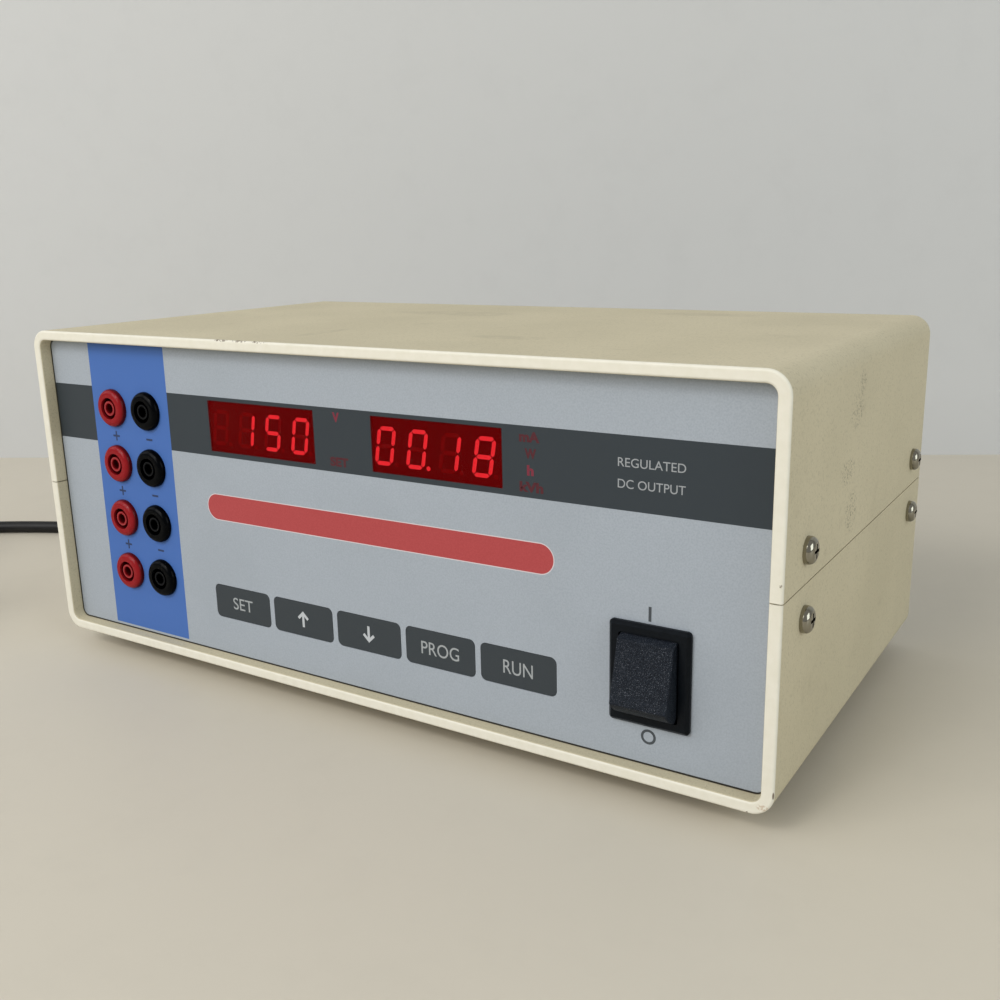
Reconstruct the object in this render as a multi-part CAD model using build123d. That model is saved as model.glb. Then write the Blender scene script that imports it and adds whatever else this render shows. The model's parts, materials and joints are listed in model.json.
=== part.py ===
from build123d import *
import math
import os

# Electrophoresis power supply: a two-shell bench case with a recessed front panel.
# Millimetres. X runs to the right seen from the front, Y to the back, Z up.
# The origin is on the surface that the feet stand on, under the middle of the case.

# Case
case_width = 305.0
case_depth = 166.0
case_height = 124.1
wall = 3.8
corner_radius = 7.0
edge_rounding = 0.8
split_height = 62.6  # of the joint between the shells, above the case's underside
seam = 0.4
foot_height = 7.4
foot_radius = 10.0
foot_inset = (32.5, 23.0)  # from the case's side and from its front or rear
tongue = 1.5  # strip inside the bottom shell that covers the seam

# Front and rear panels
front_recess = 5.0
rear_recess = 8.0
panel_thickness = 2.0
panel_gap = 0.3
overlay_thickness = 0.5
overlay_inset = 0.2
hole_gap = 0.1  # round what passes through a panel
bracket_depth = 23.5
bracket_thickness = 2.0
bracket_clear = 8.0  # the brackets stay this far from the case's floor and roof

# Side screws, M4 pan head, one pair at the front and one at the rear of each side
side_screw_from_front = 19.3
side_screw_from_rear = 16.7
side_screw_rise = 10.0  # above and below the joint
screw_radius = 1.95
screw_slack = 0.3  # round a screw in a plain hole
screw_head_reach = 2.05  # of a pan head beyond the shank
screw_head_height = 2.8
screw_length = 10.0
cross_depth = 1.6
cross_reach = 2.1
cross_half_width = 0.45
nut_wall = 2.0
nut_length = 3.5
nut_neck_wall = 0.7
hexagon_reach = 1.55  # of a hexagon's flats beyond the screw's shank
hexagon_height = 3.2
fit_gap = 0.05

# Output sockets for 4 mm plugs, from the case's left side and its underside
socket_from_left = 38.3
socket_pitch_x = 19.0
socket_pitch_z = 22.0
socket_rows = 4
socket_first_height = 29.0
socket_bore_radius = 2.0
socket_bore_length = 15.0
contact_wall = 0.5
contact_depth = 1.0  # of the contact's mouth behind the overlay's face
contact_tail_radius = 1.0
contact_tail_length = 6.0  # beyond the barrel
contact_end_wall = 2.0  # of the barrel behind the contact
socket_tube_wall = 0.35
socket_groove_width = 1.35
socket_barrel_wall = 1.7
socket_barrel_length = 20.0
socket_flange_reach = 1.5
socket_flange_thickness = 2.4
socket_flange_rounding = 2.1
socket_tube_setback = 0.4  # of the tube's mouth behind the flange's face
socket_nut_reach = 1.6
socket_nut_thickness = 2.5

# Displays
window_width = 50.3
window_height = 18.6
window_slack = 0.35  # between a display's edge and the panel's opening
window_centres = (-36.45, 38.6)
window_centre_height = 92.2
display_setback = 0.3  # of the digits' face behind the overlay
display_height = 19.05
digit_pitch = 12.7
digit_offset = (-0.9, -0.4)  # of the four digits' middle from the display's middle
digit_half_width = 3.0
digit_half_height = 5.8
digit_slant = math.tan(math.radians(9.6))
stroke = 1.35
stroke_gap = 0.25
point_radius = 0.75
point_offset = 4.25  # of a digit's decimal point, to the right of its middle
segment_thickness = 0.1

# Legend lamps beside the displays: centre x, height above the case's underside, width
legend_lamps = (
    (-1.2, 99.8, 6.0),
    (-1.0, 84.7, 9.0),
    (73.4, 99.6, 9.0),
    (73.7, 94.6, 9.0),
    (73.6, 89.5, 9.0),
    (73.9, 84.4, 9.0),
)
lamp_height = 4.2
panel_lamp_gap = 0.4
lamp_setback = 0.1

# Keys
key_names = ("key_set", "key_up", "key_down", "key_prog", "key_run")
key_width = 27.7
key_height = 12.8
key_radius = 2.0
key_web = 2.35  # of panel between two keys
key_row_left = -66.1
key_centre_height = 24.9
key_thickness = 2.2
key_gap = 0.15
panel_key_gap = 0.35
key_stem_radius = 3.3
key_stem_length = 4.6
key_stem_gap = 0.2
key_switch_size = 12.0
key_switch_depth = 3.5
key_switch_bore_depth = 2.5

# Mains rocker switch, from the case's right side and its underside
switch_from_right = 39.3
switch_height = 32.6
bezel_reach = (1.85, 1.24)  # beyond the switch's body, sideways and up
bezel_thickness = 2.0
bezel_corner = 1.2
bezel_chamfer = 1.0
well_corner = 0.7
bezel_lip = 1.5
switch_wall = (1.45, 1.5)
switch_body_depth = 23.0
hollow_depth = 14.0
rocker_width = 17.8
rocker_side_gap = 0.55
rocker_end_gap = 0.1  # between the rocker's end and the well's mouth
hollow_end_gap = 0.34
rocker_half_face = 9.55
rocker_face_reach = 8.4  # from the pivot to the rocker's face
rocker_side_rounding = 0.4
rocker_end_rounding = 0.35
rocker_tilt = 15.0
rocker_pivot_depth = 1.3  # of the pivot behind the overlay's face
rocker_pin_radius = 1.2
rocker_pin_gap = 0.05
rocker_back = (3.5, 6.0)  # the depth of its back behind the pivot, and half its height
blade_size = (6.3, 0.8, 10.0)
blade_spacing = (12.0, 12.0)

# Front board
spacer_length = 6.3
spacer_wall = 1.5
board_thickness = 1.6
board_left = -75.0
board_right = 95.0
board_bottom_height = 12.6
board_top_height = 112.6
board_screw_radius = 1.45
board_screw_head_reach = 1.35
board_screw_head_height = 1.8
board_screw_grip = 4.0
board_slack = 0.2
board_screw_inset = 5.0

# Chassis plate, transformer and power board
chassis_thickness = 1.5
chassis_inset = (20.0, 15.0)
transformer_x = -70.0
transformer_from_rear = 60.0  # of the transformer's middle from the rear panel
core_stack = 42.0
core_leg = 28.0
core_yoke = 14.0
core_window = 14.0
core_window_height = 42.0
core_lift = 4.0
winding_wall = 12.0
winding_gap = 0.2
strap_width = 30.0
strap_thickness = 1.5
strap_foot = 14.0
power_board_x = (-10.0, 125.0)
power_board_depth = 83.0
power_board_from_rear = 28.0
power_board_lift = 8.0
capacitor_radius = 12.5
capacitor_height = 40.0
capacitor_x = 10.0
capacitor_pitch = 30.0
sink_x = (38.0, 112.0)
sink_base = 6.0
sink_fin_length = 26.0
sink_fin_thickness = 1.6
sink_fin_count = 12
sink_height = 44.0
transistor_count = 4
transistor_size = (16.0, 5.0, 21.0)

# Fan
fan_x = 80.0
fan_height = 67.6
fan_size = 60.0
fan_depth = 25.0
fan_rim = 1.5  # between the fan's opening and its side
fan_tip_gap = 1.1
fan_hub_radius = 14.0
fan_blade_count = 7
fan_screw_inset = 5.0
fan_shaft_radius = 1.5
guard_wire = 0.9
guard_ring_pitch = 7.0
guard_ring_count = 4

# Fuse holder and mains lead entry, heights above the case's underside
fuse_x = -15.0
fuse_height = 37.6
fuse_radius = 2.6
fuse_length = 20.0
fuse_end_length = 5.0
fuse_depth = 5.0  # of the fuse's outer end in from the rear panel's face
fuse_slack = 1.0
fuse_holder_wall = 2.4
fuse_holder_tail = 15.0  # beyond the fuse's inner end
fuse_flange_reach = 2.0
fuse_flange_thickness = 2.0
fuse_nut_reach = 2.0
fuse_cap_reach = 1.0
fuse_cap_length = 10.0
relief_x = -88.0
relief_height = 30.6
relief_length = 34.0
relief_tip_wall = 1.45
relief_taper = 2.3
relief_neck_reduction = 1.0
relief_collar_reach = 1.5
relief_collar_thickness = 3.0
relief_bore_depth = 10.0

# Mains cord: its diameter, its route as laid, and the coil of its unseen length
cord_diameter = 6.5
cord_route = (
    (-88.0, 99.0, 38.0),
    (-88.0, 133.0, 38.0),
    (-99.0, 161.0, 21.0),
    (-133.0, 168.0, 3.4),
    (-170.0, 137.0, 3.4),
    (-209.0, 92.0, 3.4),
    (-252.0, 52.0, 3.4),
    (-298.0, 26.5, 3.4),
    (-326.0, 13.5, 3.4),
    (-351.4, -2.4, 3.4),
    (-381.4, -25.8, 3.6),
    (-391.5, -46.3, 4.1),
    (-391.5, -69.5, 4.1),
)
tail_route = (
    (-336.0, -123.25, 11.1),
    (-319.5, -123.25, 11.1),
    (-301.5, -120.75, 18.5),
    (-285.5, -119.75, 18.5),
)
coil_centre = (-342.5, -76.0)
coil_turn_gap = 0.5
coil_inner_radius = 26.25
coil_start_angle = 180.0
coil_turns_in = 3.25
coil_turns_out = 3.0
tie_width = 10.0
tie_thickness = 0.8
tie_gap = 0.65

# Mains plug
plug_radius = 18.5
plug_length = 36.0
plug_collar_length = 12.0
plug_neck_radius = 9.0
plug_boot_radius = 5.0
plug_boot_length = 15.0
plug_pin_radius = 2.4
plug_pin_length = 19.0
plug_pin_spacing = 19.0

# Levels that follow from the sizes above
floor_z = foot_height
roof_z = floor_z + case_height
middle_z = (floor_z + roof_z) / 2
split_z = floor_z + split_height
side_x = case_width / 2
inner_x = side_x - wall
front_y = -case_depth / 2
rear_y = case_depth / 2
face_y = front_y + front_recess
panel_front_y = face_y + overlay_thickness
panel_back_y = panel_front_y + panel_thickness
rear_face_y = rear_y - rear_recess
rear_inside_y = rear_face_y - panel_thickness
panel_width = case_width - 2 * (wall + panel_gap)
panel_height = case_height - 2 * (wall + panel_gap)
panel_radius = corner_radius - wall - panel_gap
screw_hole_radius = screw_radius + fit_gap
screw_pass_radius = screw_radius + screw_slack
screw_head_radius = screw_radius + screw_head_reach
nut_radius = screw_hole_radius + nut_wall
nut_neck_radius = screw_hole_radius + nut_neck_wall
hexagon_radius = screw_radius + hexagon_reach
board_hole_radius = board_screw_radius + fit_gap
spacer_radius = board_hole_radius + spacer_wall
bracket_x = panel_width / 2 - bracket_thickness
board_front_y = panel_back_y + spacer_length
board_back_y = board_front_y + board_thickness
chassis_z = floor_z + wall
chassis_top_z = chassis_z + chassis_thickness
power_board_z = chassis_top_z + power_board_lift
power_board_top_z = power_board_z + board_thickness
power_board_y = (
    rear_inside_y - power_board_from_rear - power_board_depth,
    rear_inside_y - power_board_from_rear,
)
socket_x = tuple(-side_x + socket_from_left + i * socket_pitch_x for i in range(2))
socket_z = tuple(floor_z + socket_first_height + i * socket_pitch_z for i in range(socket_rows))
contact_radius = socket_bore_radius + contact_wall
contact_y = (face_y + contact_depth, face_y + contact_depth + socket_bore_length)
contact_tail_y = face_y + socket_barrel_length + contact_tail_length
socket_tube_radius = contact_radius + socket_tube_wall
socket_groove_radius = socket_tube_radius + socket_groove_width
socket_barrel_radius = socket_groove_radius + socket_barrel_wall
socket_flange_radius = socket_barrel_radius + socket_flange_reach
key_pitch = key_width + key_web
key_x = tuple(key_row_left + key_width / 2 + i * key_pitch for i in range(len(key_names)))
key_z = floor_z + key_centre_height
window_z = floor_z + window_centre_height
switch_x = side_x - switch_from_right
switch_z = floor_z + switch_height
pivot_y = face_y + rocker_pivot_depth
rocker_end_radius = math.hypot(rocker_face_reach, rocker_half_face)
lip_depth = rocker_pivot_depth + bezel_thickness - bezel_lip
well_width = rocker_width + 2 * rocker_side_gap
well_height = 2 * (math.sqrt(rocker_end_radius**2 - lip_depth**2) + rocker_end_gap)
hollow_height = 2 * (rocker_end_radius + hollow_end_gap)
switch_body_width = well_width + 2 * switch_wall[0]
switch_body_height = hollow_height + 2 * switch_wall[1]
core_size = (core_leg + 2 * (core_window + core_yoke), core_stack, core_window_height + 2 * core_yoke)
fan_z = floor_z + fan_height
fan_bore = fan_size / 2 - fan_rim
fan_blade_radius = fan_bore - fan_tip_gap
fan_screw_pitch = fan_size - 2 * fan_screw_inset
guard_rings = tuple(fan_bore - i * guard_ring_pitch for i in reversed(range(guard_ring_count)))
fuse_z = floor_z + fuse_height
fuse_y = (rear_face_y - fuse_depth - fuse_length, rear_face_y - fuse_depth)
fuse_bore_radius = fuse_radius + fuse_slack
fuse_holder_radius = fuse_bore_radius + fuse_holder_wall
fuse_holder_end = fuse_y[0] - fuse_holder_tail
relief_z = floor_z + relief_height
relief_tip_radius = cord_diameter / 2 + relief_tip_wall
relief_radius = relief_tip_radius + relief_taper
relief_neck_radius = relief_radius - relief_neck_reduction
relief_collar_radius = relief_radius + relief_collar_reach
coil_pitch = cord_diameter + coil_turn_gap
coil_low = cord_diameter / 2 + tie_thickness + fit_gap
side_screw_y = (front_y + side_screw_from_front, rear_y - side_screw_from_rear)
side_screw_z = (split_z - side_screw_rise, split_z + side_screw_rise)
foot_places = [
    (sx * (side_x - foot_inset[0]), sy * (rear_y - foot_inset[1])) for sx in (-1, 1) for sy in (-1, 1)
]


# Basic shapes


def block(x, y, z):
    """A box between three (low, high) pairs."""
    low_high = (x, y, z)
    middle = [(low + high) / 2 for low, high in low_high]
    return Pos(*middle) * Box(*[high - low for low, high in low_high])


def rod_x(radius, x, y, z):
    """A cylinder along X between the pair x."""
    return Pos((x[0] + x[1]) / 2, y, z) * Rot(0, 90, 0) * Cylinder(radius, x[1] - x[0])


def rod_y(radius, x, y, z):
    """A cylinder along Y between the pair y."""
    return Pos(x, (y[0] + y[1]) / 2, z) * Rot(90, 0, 0) * Cylinder(radius, y[1] - y[0])


def rod_z(radius, x, y, z):
    """A cylinder along Z between the pair z."""
    return Pos(x, y, (z[0] + z[1]) / 2) * Cylinder(radius, z[1] - z[0])


def slab_y(sketch, y):
    """A sketch of X and Z, made solid between the pair y."""
    return extrude(Plane.XZ.offset(-y[1]) * sketch, y[1] - y[0])


def slab_x(sketch, x):
    """A sketch of Y and Z, made solid between the pair x."""
    return extrude(Plane.YZ.offset(x[0]) * sketch, x[1] - x[0])


def join(solids):
    """Solids that touch or overlap, as one."""
    solids = list(solids)
    whole = solids[0]
    for solid in solids[1:]:
        whole = whole + solid
    return whole


def cut(body, tools):
    """A body with each tool cut out of it."""
    for tool in tools:
        body = body - tool
    return body


def bend_radii(points):
    """The largest arc at each corner of a route: 0.45 of its shorter run, over tan of half the turn."""
    corners = [Vector(*point) for point in points]
    radii = []
    for before, here, after in zip(corners, corners[1:], corners[2:]):
        run_in = here - before
        run_out = after - here
        half_turn = math.radians(run_in.get_angle(run_out)) / 2
        radii.append(0.45 * min(run_in.length, run_out.length) / math.tan(half_turn))
    return radii


def tube(points, radius):
    """A round tube along straight runs joined by arcs, and its path."""
    path = FilletPolyline(*points, radius=bend_radii(points))
    profile = Plane(origin=path @ 0, z_dir=path % 0) * Circle(radius)
    return sweep(profile, path=path), path


def solid_tube(points, radius):
    """The tube alone."""
    return tube(points, radius)[0]


# Case


def panel_outline():
    """The outline that fits inside the shells."""
    return Pos(0, middle_z) * RectangleRounded(panel_width, panel_height, panel_radius)


def shell(keep_top):
    """One of the two U-shaped shells, with its screw holes."""
    outline = RectangleRounded(case_width, case_height, corner_radius)
    hollow = RectangleRounded(case_width - 2 * wall, case_height - 2 * wall, corner_radius - wall)
    body = slab_y(Pos(0, middle_z) * (outline - hollow), (front_y, rear_y))
    body = fillet(body.faces().sort_by(Axis.Y)[0].edges(), edge_rounding)
    body = fillet(body.faces().sort_by(Axis.Y)[-1].edges(), edge_rounding)
    far = 2 * case_width
    if keep_top:
        body = body & block((-far, far), (-far, far), (split_z + seam / 2, far))
    else:
        body = body & block((-far, far), (-far, far), (-far, split_z - seam / 2))
    z = side_screw_z[1] if keep_top else side_screw_z[0]
    spans = [(-far, -inner_x + 1), (inner_x - 1, far)]
    return cut(body, [rod_x(screw_pass_radius, x, y, z) for x in spans for y in side_screw_y])


vent_x = tuple(24.0 + 9.0 * i for i in range(8))
vent_size = (3.0, 36.0)
vent_y = rear_inside_y - power_board_from_rear - 45.0


def floor_vents(z):
    """Slots under the power board, cut through the floor and the chassis plate alike."""
    return [
        extrude(Pos(x, vent_y, z[0]) * SlotOverall(vent_size[1], vent_size[0], rotation=90), z[1] - z[0])
        for x in vent_x
    ]


def bottom_shell():
    """The lower shell: feet holes, floor vents and the strips that cover the seam from inside."""
    body = shell(False)
    holes = [rod_z(screw_pass_radius, x, y, (floor_z - 1, chassis_z + 1)) for x, y in foot_places]
    body = cut(body, holes + floor_vents((floor_z - 1, chassis_z + 1)))
    y = (face_y + overlay_thickness + bracket_depth + 5, rear_inside_y - bracket_depth - 5)
    for side in (-1, 1):
        x_low, x_high = sorted((side * (inner_x - tongue - 0.1), side * (inner_x - 0.1)))
        strip = block((x_low, x_high), y, (split_z - 9, split_z + 5))
        x_low, x_high = sorted((side * (inner_x - 0.1), side * inner_x))
        root = block((x_low, x_high), y, (split_z - 9, split_z - seam))
        body = body + strip + root
    return body


def top_shell():
    """The upper shell."""
    return shell(True)


def pan_screw_x(side, y, z):
    """A pan head screw with a cross recess that goes in from one side of the case."""
    inward = -side
    start = side * side_x
    head = rod_x(screw_head_radius, sorted((start, start + side * screw_head_height)), y, z)
    rim = head.faces().sort_by(Axis.X)[-1 if side > 0 else 0]
    head = fillet(rim.edges(), screw_head_height * 0.7)
    shank = rod_x(screw_radius, sorted((start, start + inward * screw_length)), y, z)
    recess_x = sorted(start + side * (screw_head_height + offset) for offset in (-cross_depth, 1))
    slots = [
        block(recess_x, (y - cross_reach, y + cross_reach), (z - cross_half_width, z + cross_half_width)),
        block(recess_x, (y - cross_half_width, y + cross_half_width), (z - cross_reach, z + cross_reach)),
    ]
    return cut(head + shank, slots)


def side_screws():
    """The eight screws that show on the case's sides."""
    return [pan_screw_x(side, y, z) for side in (-1, 1) for y in side_screw_y for z in side_screw_z]


def panel_nuts():
    """Press nuts in the panels' brackets, one for each side screw."""
    nuts = []
    for side in (-1, 1):
        for y in side_screw_y:
            for z in side_screw_z:
                body_x = sorted((side * bracket_x, side * (bracket_x - nut_length)))
                neck_x = sorted((side * bracket_x, side * (bracket_x + bracket_thickness - panel_gap)))
                bore_x = sorted((side * (bracket_x - nut_length - 1), side * (bracket_x + bracket_thickness)))
                nut = rod_x(nut_radius, body_x, y, z) + rod_x(nut_neck_radius, neck_x, y, z)
                nuts.append(nut - rod_x(screw_hole_radius, bore_x, y, z))
    return nuts


def panel_bracket(side, y, screw_y):
    """The strip that stands behind one end of a panel, which the side screws hold."""
    x = sorted((side * bracket_x, side * (bracket_x + bracket_thickness)))
    z = (floor_z + wall + bracket_clear, roof_z - wall - bracket_clear)
    holes = [rod_x(nut_neck_radius + fit_gap / 2, (x[0] - 1, x[1] + 1), screw_y, z) for z in side_screw_z]
    return cut(block(x, y, z), holes)


# Front panel


def rectangle_at(x, z, width, height):
    """A rectangle of a panel."""
    return Pos(x, z) * Rectangle(width, height)


def key_outline(x, grow):
    """A key's outline, with a margin around it."""
    size = (key_width + 2 * grow, key_height + 2 * grow)
    return Pos(x, key_z) * RectangleRounded(*size, key_radius + grow)


def front_openings(window_size, key_margin, lamp_margin):
    """Everything that is cut out of the front panel or its overlay."""
    holes = [Pos(x, z) * Circle(socket_barrel_radius + hole_gap) for x in socket_x for z in socket_z]
    holes += [rectangle_at(x, window_z, *window_size) for x in window_centres]
    holes += [key_outline(x, key_margin) for x in key_x]
    switch_hole = (switch_body_width + 2 * hole_gap, switch_body_height + 2 * hole_gap)
    holes.append(rectangle_at(switch_x, switch_z, *switch_hole))
    if lamp_margin:
        for x, height, width in legend_lamps:
            size = (width + lamp_margin, lamp_height + lamp_margin)
            holes.append(rectangle_at(x, floor_z + height, *size))
    return holes


def front_panel():
    """The sheet metal front panel, with a strip behind each end."""
    size = (window_width + 2 * window_slack, display_height + 2 * window_slack + fit_gap)
    openings = front_openings(size, panel_key_gap, panel_lamp_gap)
    body = slab_y(cut(panel_outline(), openings), (panel_front_y, panel_back_y))
    y = (panel_back_y, panel_back_y + bracket_depth)
    return [body] + [panel_bracket(side, y, side_screw_y[0]) for side in (-1, 1)]


def front_overlay():
    """The printed foil on the front panel."""
    size = (panel_width - 2 * overlay_inset, panel_height - 2 * overlay_inset)
    outline = Pos(0, middle_z) * RectangleRounded(*size, panel_radius - overlay_inset)
    openings = front_openings((window_width, window_height), key_gap, 0)
    return slab_y(cut(outline, openings), (face_y, panel_front_y))


def display_windows():
    """The two red filters, flush with the overlay."""
    size = (window_width - 2 * fit_gap, window_height - 2 * fit_gap)
    return [slab_y(rectangle_at(x, window_z, *size), (face_y, panel_front_y)) for x in window_centres]


display_face_y = panel_front_y + display_setback
digit_z = window_z + digit_offset[1]


def display_modules():
    """The two four-digit display blocks."""
    y = (display_face_y, board_front_y)
    return [slab_y(rectangle_at(x, window_z, window_width, display_height), y) for x in window_centres]


# The strokes of a digit, from corner to corner, in half widths and half heights
strokes = {
    "top": ((-1, 1), (1, 1)),
    "upper_right": ((1, 1), (1, 0)),
    "lower_right": ((1, 0), (1, -1)),
    "bottom": ((-1, -1), (1, -1)),
    "lower_left": ((-1, 0), (-1, -1)),
    "upper_left": ((-1, 1), (-1, 0)),
    "middle": ((-1, 0), (1, 0)),
}
# The strokes that are off in each digit that the displays show
dark_strokes = {
    " ": tuple(strokes),
    "0": ("middle",),
    "1": ("top", "bottom", "lower_left", "upper_left", "middle"),
    "5": ("upper_right", "lower_left"),
    "8": (),
}
readings = (" 150", "0018")
lit_points = ((1, 1),)  # display and digit whose decimal point is on


def stroke_outline(x, ends):
    """One stroke: a bar with pointed ends, leaning with the digit."""
    (ax, az), (bx, bz) = [(u * digit_half_width, v * digit_half_height) for u, v in ends]
    length = math.hypot(bx - ax, bz - az)
    along = ((bx - ax) / length, (bz - az) / length)
    across = (-along[1], along[0])
    half = stroke / 2
    marks = (
        (stroke_gap, 0),
        (stroke_gap + half, half),
        (length - stroke_gap - half, half),
        (length - stroke_gap, 0),
        (length - stroke_gap - half, -half),
        (stroke_gap + half, -half),
    )
    corners = []
    for s, t in marks:
        u = ax + s * along[0] + t * across[0]
        v = az + s * along[1] + t * across[1]
        corners.append((x + u + v * digit_slant, digit_z + v))
    return make_face(Polyline(*corners, close=True))


def digit_segments(lit):
    """The strokes and points of all eight digits that are on, or those that are off."""
    y = (display_face_y - segment_thickness, display_face_y)
    pieces = []
    for display, (centre, reading) in enumerate(zip(window_centres, readings)):
        for place, shown in enumerate(reading):
            x = centre + digit_offset[0] + (place - 1.5) * digit_pitch
            for name, ends in strokes.items():
                if (name not in dark_strokes[shown]) == lit:
                    pieces.append(slab_y(stroke_outline(x, ends), y))
            if ((display, place) in lit_points) == lit:
                dot = Pos(x + point_offset, digit_z - digit_half_height) * Circle(point_radius)
                pieces.append(slab_y(dot, y))
    return pieces


def lamp_blocks():
    """The lamp blocks behind the legends, from the board to just behind the overlay."""
    y = (panel_front_y + lamp_setback, board_front_y)
    return [
        slab_y(rectangle_at(x, floor_z + height, width, lamp_height), y) for x, height, width in legend_lamps
    ]


def key(x):
    """One key: its cap in the panel's opening and the stem that reaches its switch."""
    cap = slab_y(key_outline(x, 0), (face_y, face_y + key_thickness))
    start = face_y + key_thickness
    return cap + rod_y(key_stem_radius, x, (start, start + key_stem_length), key_z)


def key_switches():
    """The five push switches on the front board."""
    pieces = []
    half = key_switch_size / 2
    front = board_front_y - key_switch_depth
    for x in key_x:
        body = block((x - half, x + half), (front, board_front_y), (key_z - half, key_z + half))
        bore_y = (front - 1, front + key_switch_bore_depth)
        pieces.append(body - rod_y(key_stem_radius + key_stem_gap, x, bore_y, key_z))
    return pieces


# Output sockets


def socket_body(x, z):
    """A shrouded socket: a domed flange, a ring-shaped groove and a tube round the contact."""
    flange_front = face_y - socket_flange_thickness
    back = face_y + socket_barrel_length
    flange = rod_y(socket_flange_radius, x, (flange_front, face_y), z)
    flange = fillet(flange.faces().sort_by(Axis.Y)[0].edges(), socket_flange_rounding)
    body = flange + rod_y(socket_barrel_radius, x, (face_y, back), z)
    groove_floor = back - 2 * contact_end_wall
    groove = rod_y(socket_groove_radius, x, (flange_front - 1, groove_floor), z)
    groove = groove - rod_y(socket_tube_radius, x, (flange_front + socket_tube_setback, groove_floor), z)
    contact_room = rod_y(contact_radius + 0.02, x, (contact_y[0], back - contact_end_wall), z)
    mouth = rod_y(socket_bore_radius, x, (flange_front - 1, contact_y[0]), z)
    tail_hole = rod_y(contact_tail_radius + fit_gap, x, (back - contact_end_wall - 1, back + 1), z)
    return cut(body, [groove, contact_room, mouth, tail_hole])


def sockets(x):
    """One column of sockets."""
    return [socket_body(x, z) for z in socket_z]


def socket_contacts():
    """The eight metal contacts: a blind tube and a soldering tail."""
    pieces = []
    back = face_y + socket_barrel_length - contact_end_wall
    for x in socket_x:
        for z in socket_z:
            body = rod_y(contact_radius, x, (contact_y[0], back), z)
            body = body - rod_y(socket_bore_radius, x, (contact_y[0] - 1, contact_y[1]), z)
            pieces.append(body + rod_y(contact_tail_radius, x, (back, contact_tail_y), z))
    return pieces


def socket_nuts():
    """The hexagon nuts behind the panel."""
    pieces = []
    y = (panel_back_y, panel_back_y + socket_nut_thickness)
    for x in socket_x:
        for z in socket_z:
            across = socket_barrel_radius + socket_nut_reach
            hexagon = Pos(x, z) * RegularPolygon(across, 6, major_radius=False)
            pieces.append(slab_y(hexagon - Pos(x, z) * Circle(socket_barrel_radius + fit_gap), y))
    return pieces


lead_radius = 1.1
bus_y = contact_tail_y + lead_radius


def output_leads():
    """Two leads: each joins its column's tails and runs to the power board."""
    leads = []
    landing_y = power_board_y[0] + 3.5
    for i, x in enumerate(socket_x):
        landing_x = power_board_x[0] + 14.0 + 8.0 * i
        y = bus_y + 4.0 - 4.0 * i
        points = (
            (x, bus_y, socket_z[-1] + 3),
            (x, bus_y, socket_z[0] + 2),
            (x + 12, y, socket_z[0] - 9),
            (landing_x - 26, y, socket_z[0] - 6),
            (landing_x, landing_y, socket_z[0] - 3),
            (landing_x, landing_y, power_board_top_z),
        )
        leads.append(solid_tube(points, lead_radius))
    return leads


# Mains switch


def switch_housing():
    """The switch's bezel and body, with the well that the rocker tilts in."""
    bezel_width = switch_body_width + 2 * bezel_reach[0]
    bezel_height = switch_body_height + 2 * bezel_reach[1]
    bezel = slab_y(
        Pos(switch_x, switch_z) * RectangleRounded(bezel_width, bezel_height, bezel_corner),
        (face_y - bezel_thickness, face_y),
    )
    bezel = chamfer(bezel.faces().sort_by(Axis.Y)[0].edges(), bezel_chamfer)
    outline = rectangle_at(switch_x, switch_z, switch_body_width, switch_body_height)
    body = slab_y(outline, (face_y, face_y + switch_body_depth))
    lip_back = pivot_y - lip_depth
    mouth = Pos(switch_x, switch_z) * RectangleRounded(well_width, well_height, well_corner)
    hollow = rectangle_at(switch_x, switch_z, well_width, hollow_height)
    pin_hole = rod_x(
        rocker_pin_radius + rocker_pin_gap,
        (switch_x - bezel_width, switch_x + bezel_width),
        pivot_y,
        switch_z,
    )
    tools = [
        slab_y(mouth, (face_y - bezel_thickness - 1, lip_back)),
        slab_y(hollow, (lip_back, face_y + hollow_depth)),
        pin_hole,
    ]
    return cut(bezel + body, tools)


def rocker():
    """The rocker at rest, with its upper half pressed in."""
    reach = rocker_face_reach
    half = rocker_half_face
    arc_radius = rocker_end_radius
    low = -1.0  # the end faces stop here, just in front of the pivot
    side = math.sqrt(arc_radius**2 - low**2)
    depth, back_half = rocker_back
    middle = math.atan2((half + side) / 2, -(reach - low) / 2)
    bulge = (arc_radius * math.cos(middle), arc_radius * math.sin(middle))
    upper = ThreePointArc((-reach, half), bulge, (low, side))
    lower = ThreePointArc((low, -side), (bulge[0], -bulge[1]), (-reach, -half))
    back = Polyline((low, side), (depth, back_half), (depth, -back_half), (low, -side))
    face = ThreePointArc((-reach, -half), (-reach + 0.25, 0), (-reach, half))
    outline = make_face(Curve() + [upper, back, lower, face])
    body = extrude(Plane.YZ.offset(-rocker_width / 2) * outline, rocker_width)
    face_edges = body.edges().filter_by(lambda e: e.center().Y < -reach + 0.6)
    body = fillet(face_edges.filter_by(Axis.X, reverse=True), rocker_side_rounding)
    ends = body.edges().filter_by(Axis.X).filter_by(lambda e: e.center().Y < -reach + 0.01)
    body = fillet(ends, rocker_end_rounding)
    pin_end = switch_body_width / 2 - 0.2
    body = body + rod_x(rocker_pin_radius, (-pin_end, pin_end), 0, 0)
    return Pos(switch_x, pivot_y, switch_z) * Rot(-rocker_tilt, 0, 0) * body


def switch_terminals():
    """The four blades at the back of the switch."""
    width, thickness, length = blade_size
    start = face_y + switch_body_depth
    pieces = []
    for sx in (-0.5, 0.5):
        for sz in (-0.5, 0.5):
            x = switch_x + sx * blade_spacing[0]
            z = switch_z + sz * blade_spacing[1]
            blade_x = (x - width / 2, x + width / 2)
            blade_z = (z - thickness / 2, z + thickness / 2)
            pieces.append(block(blade_x, (start, start + length), blade_z))
    return pieces


# Front board and what is on it

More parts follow.
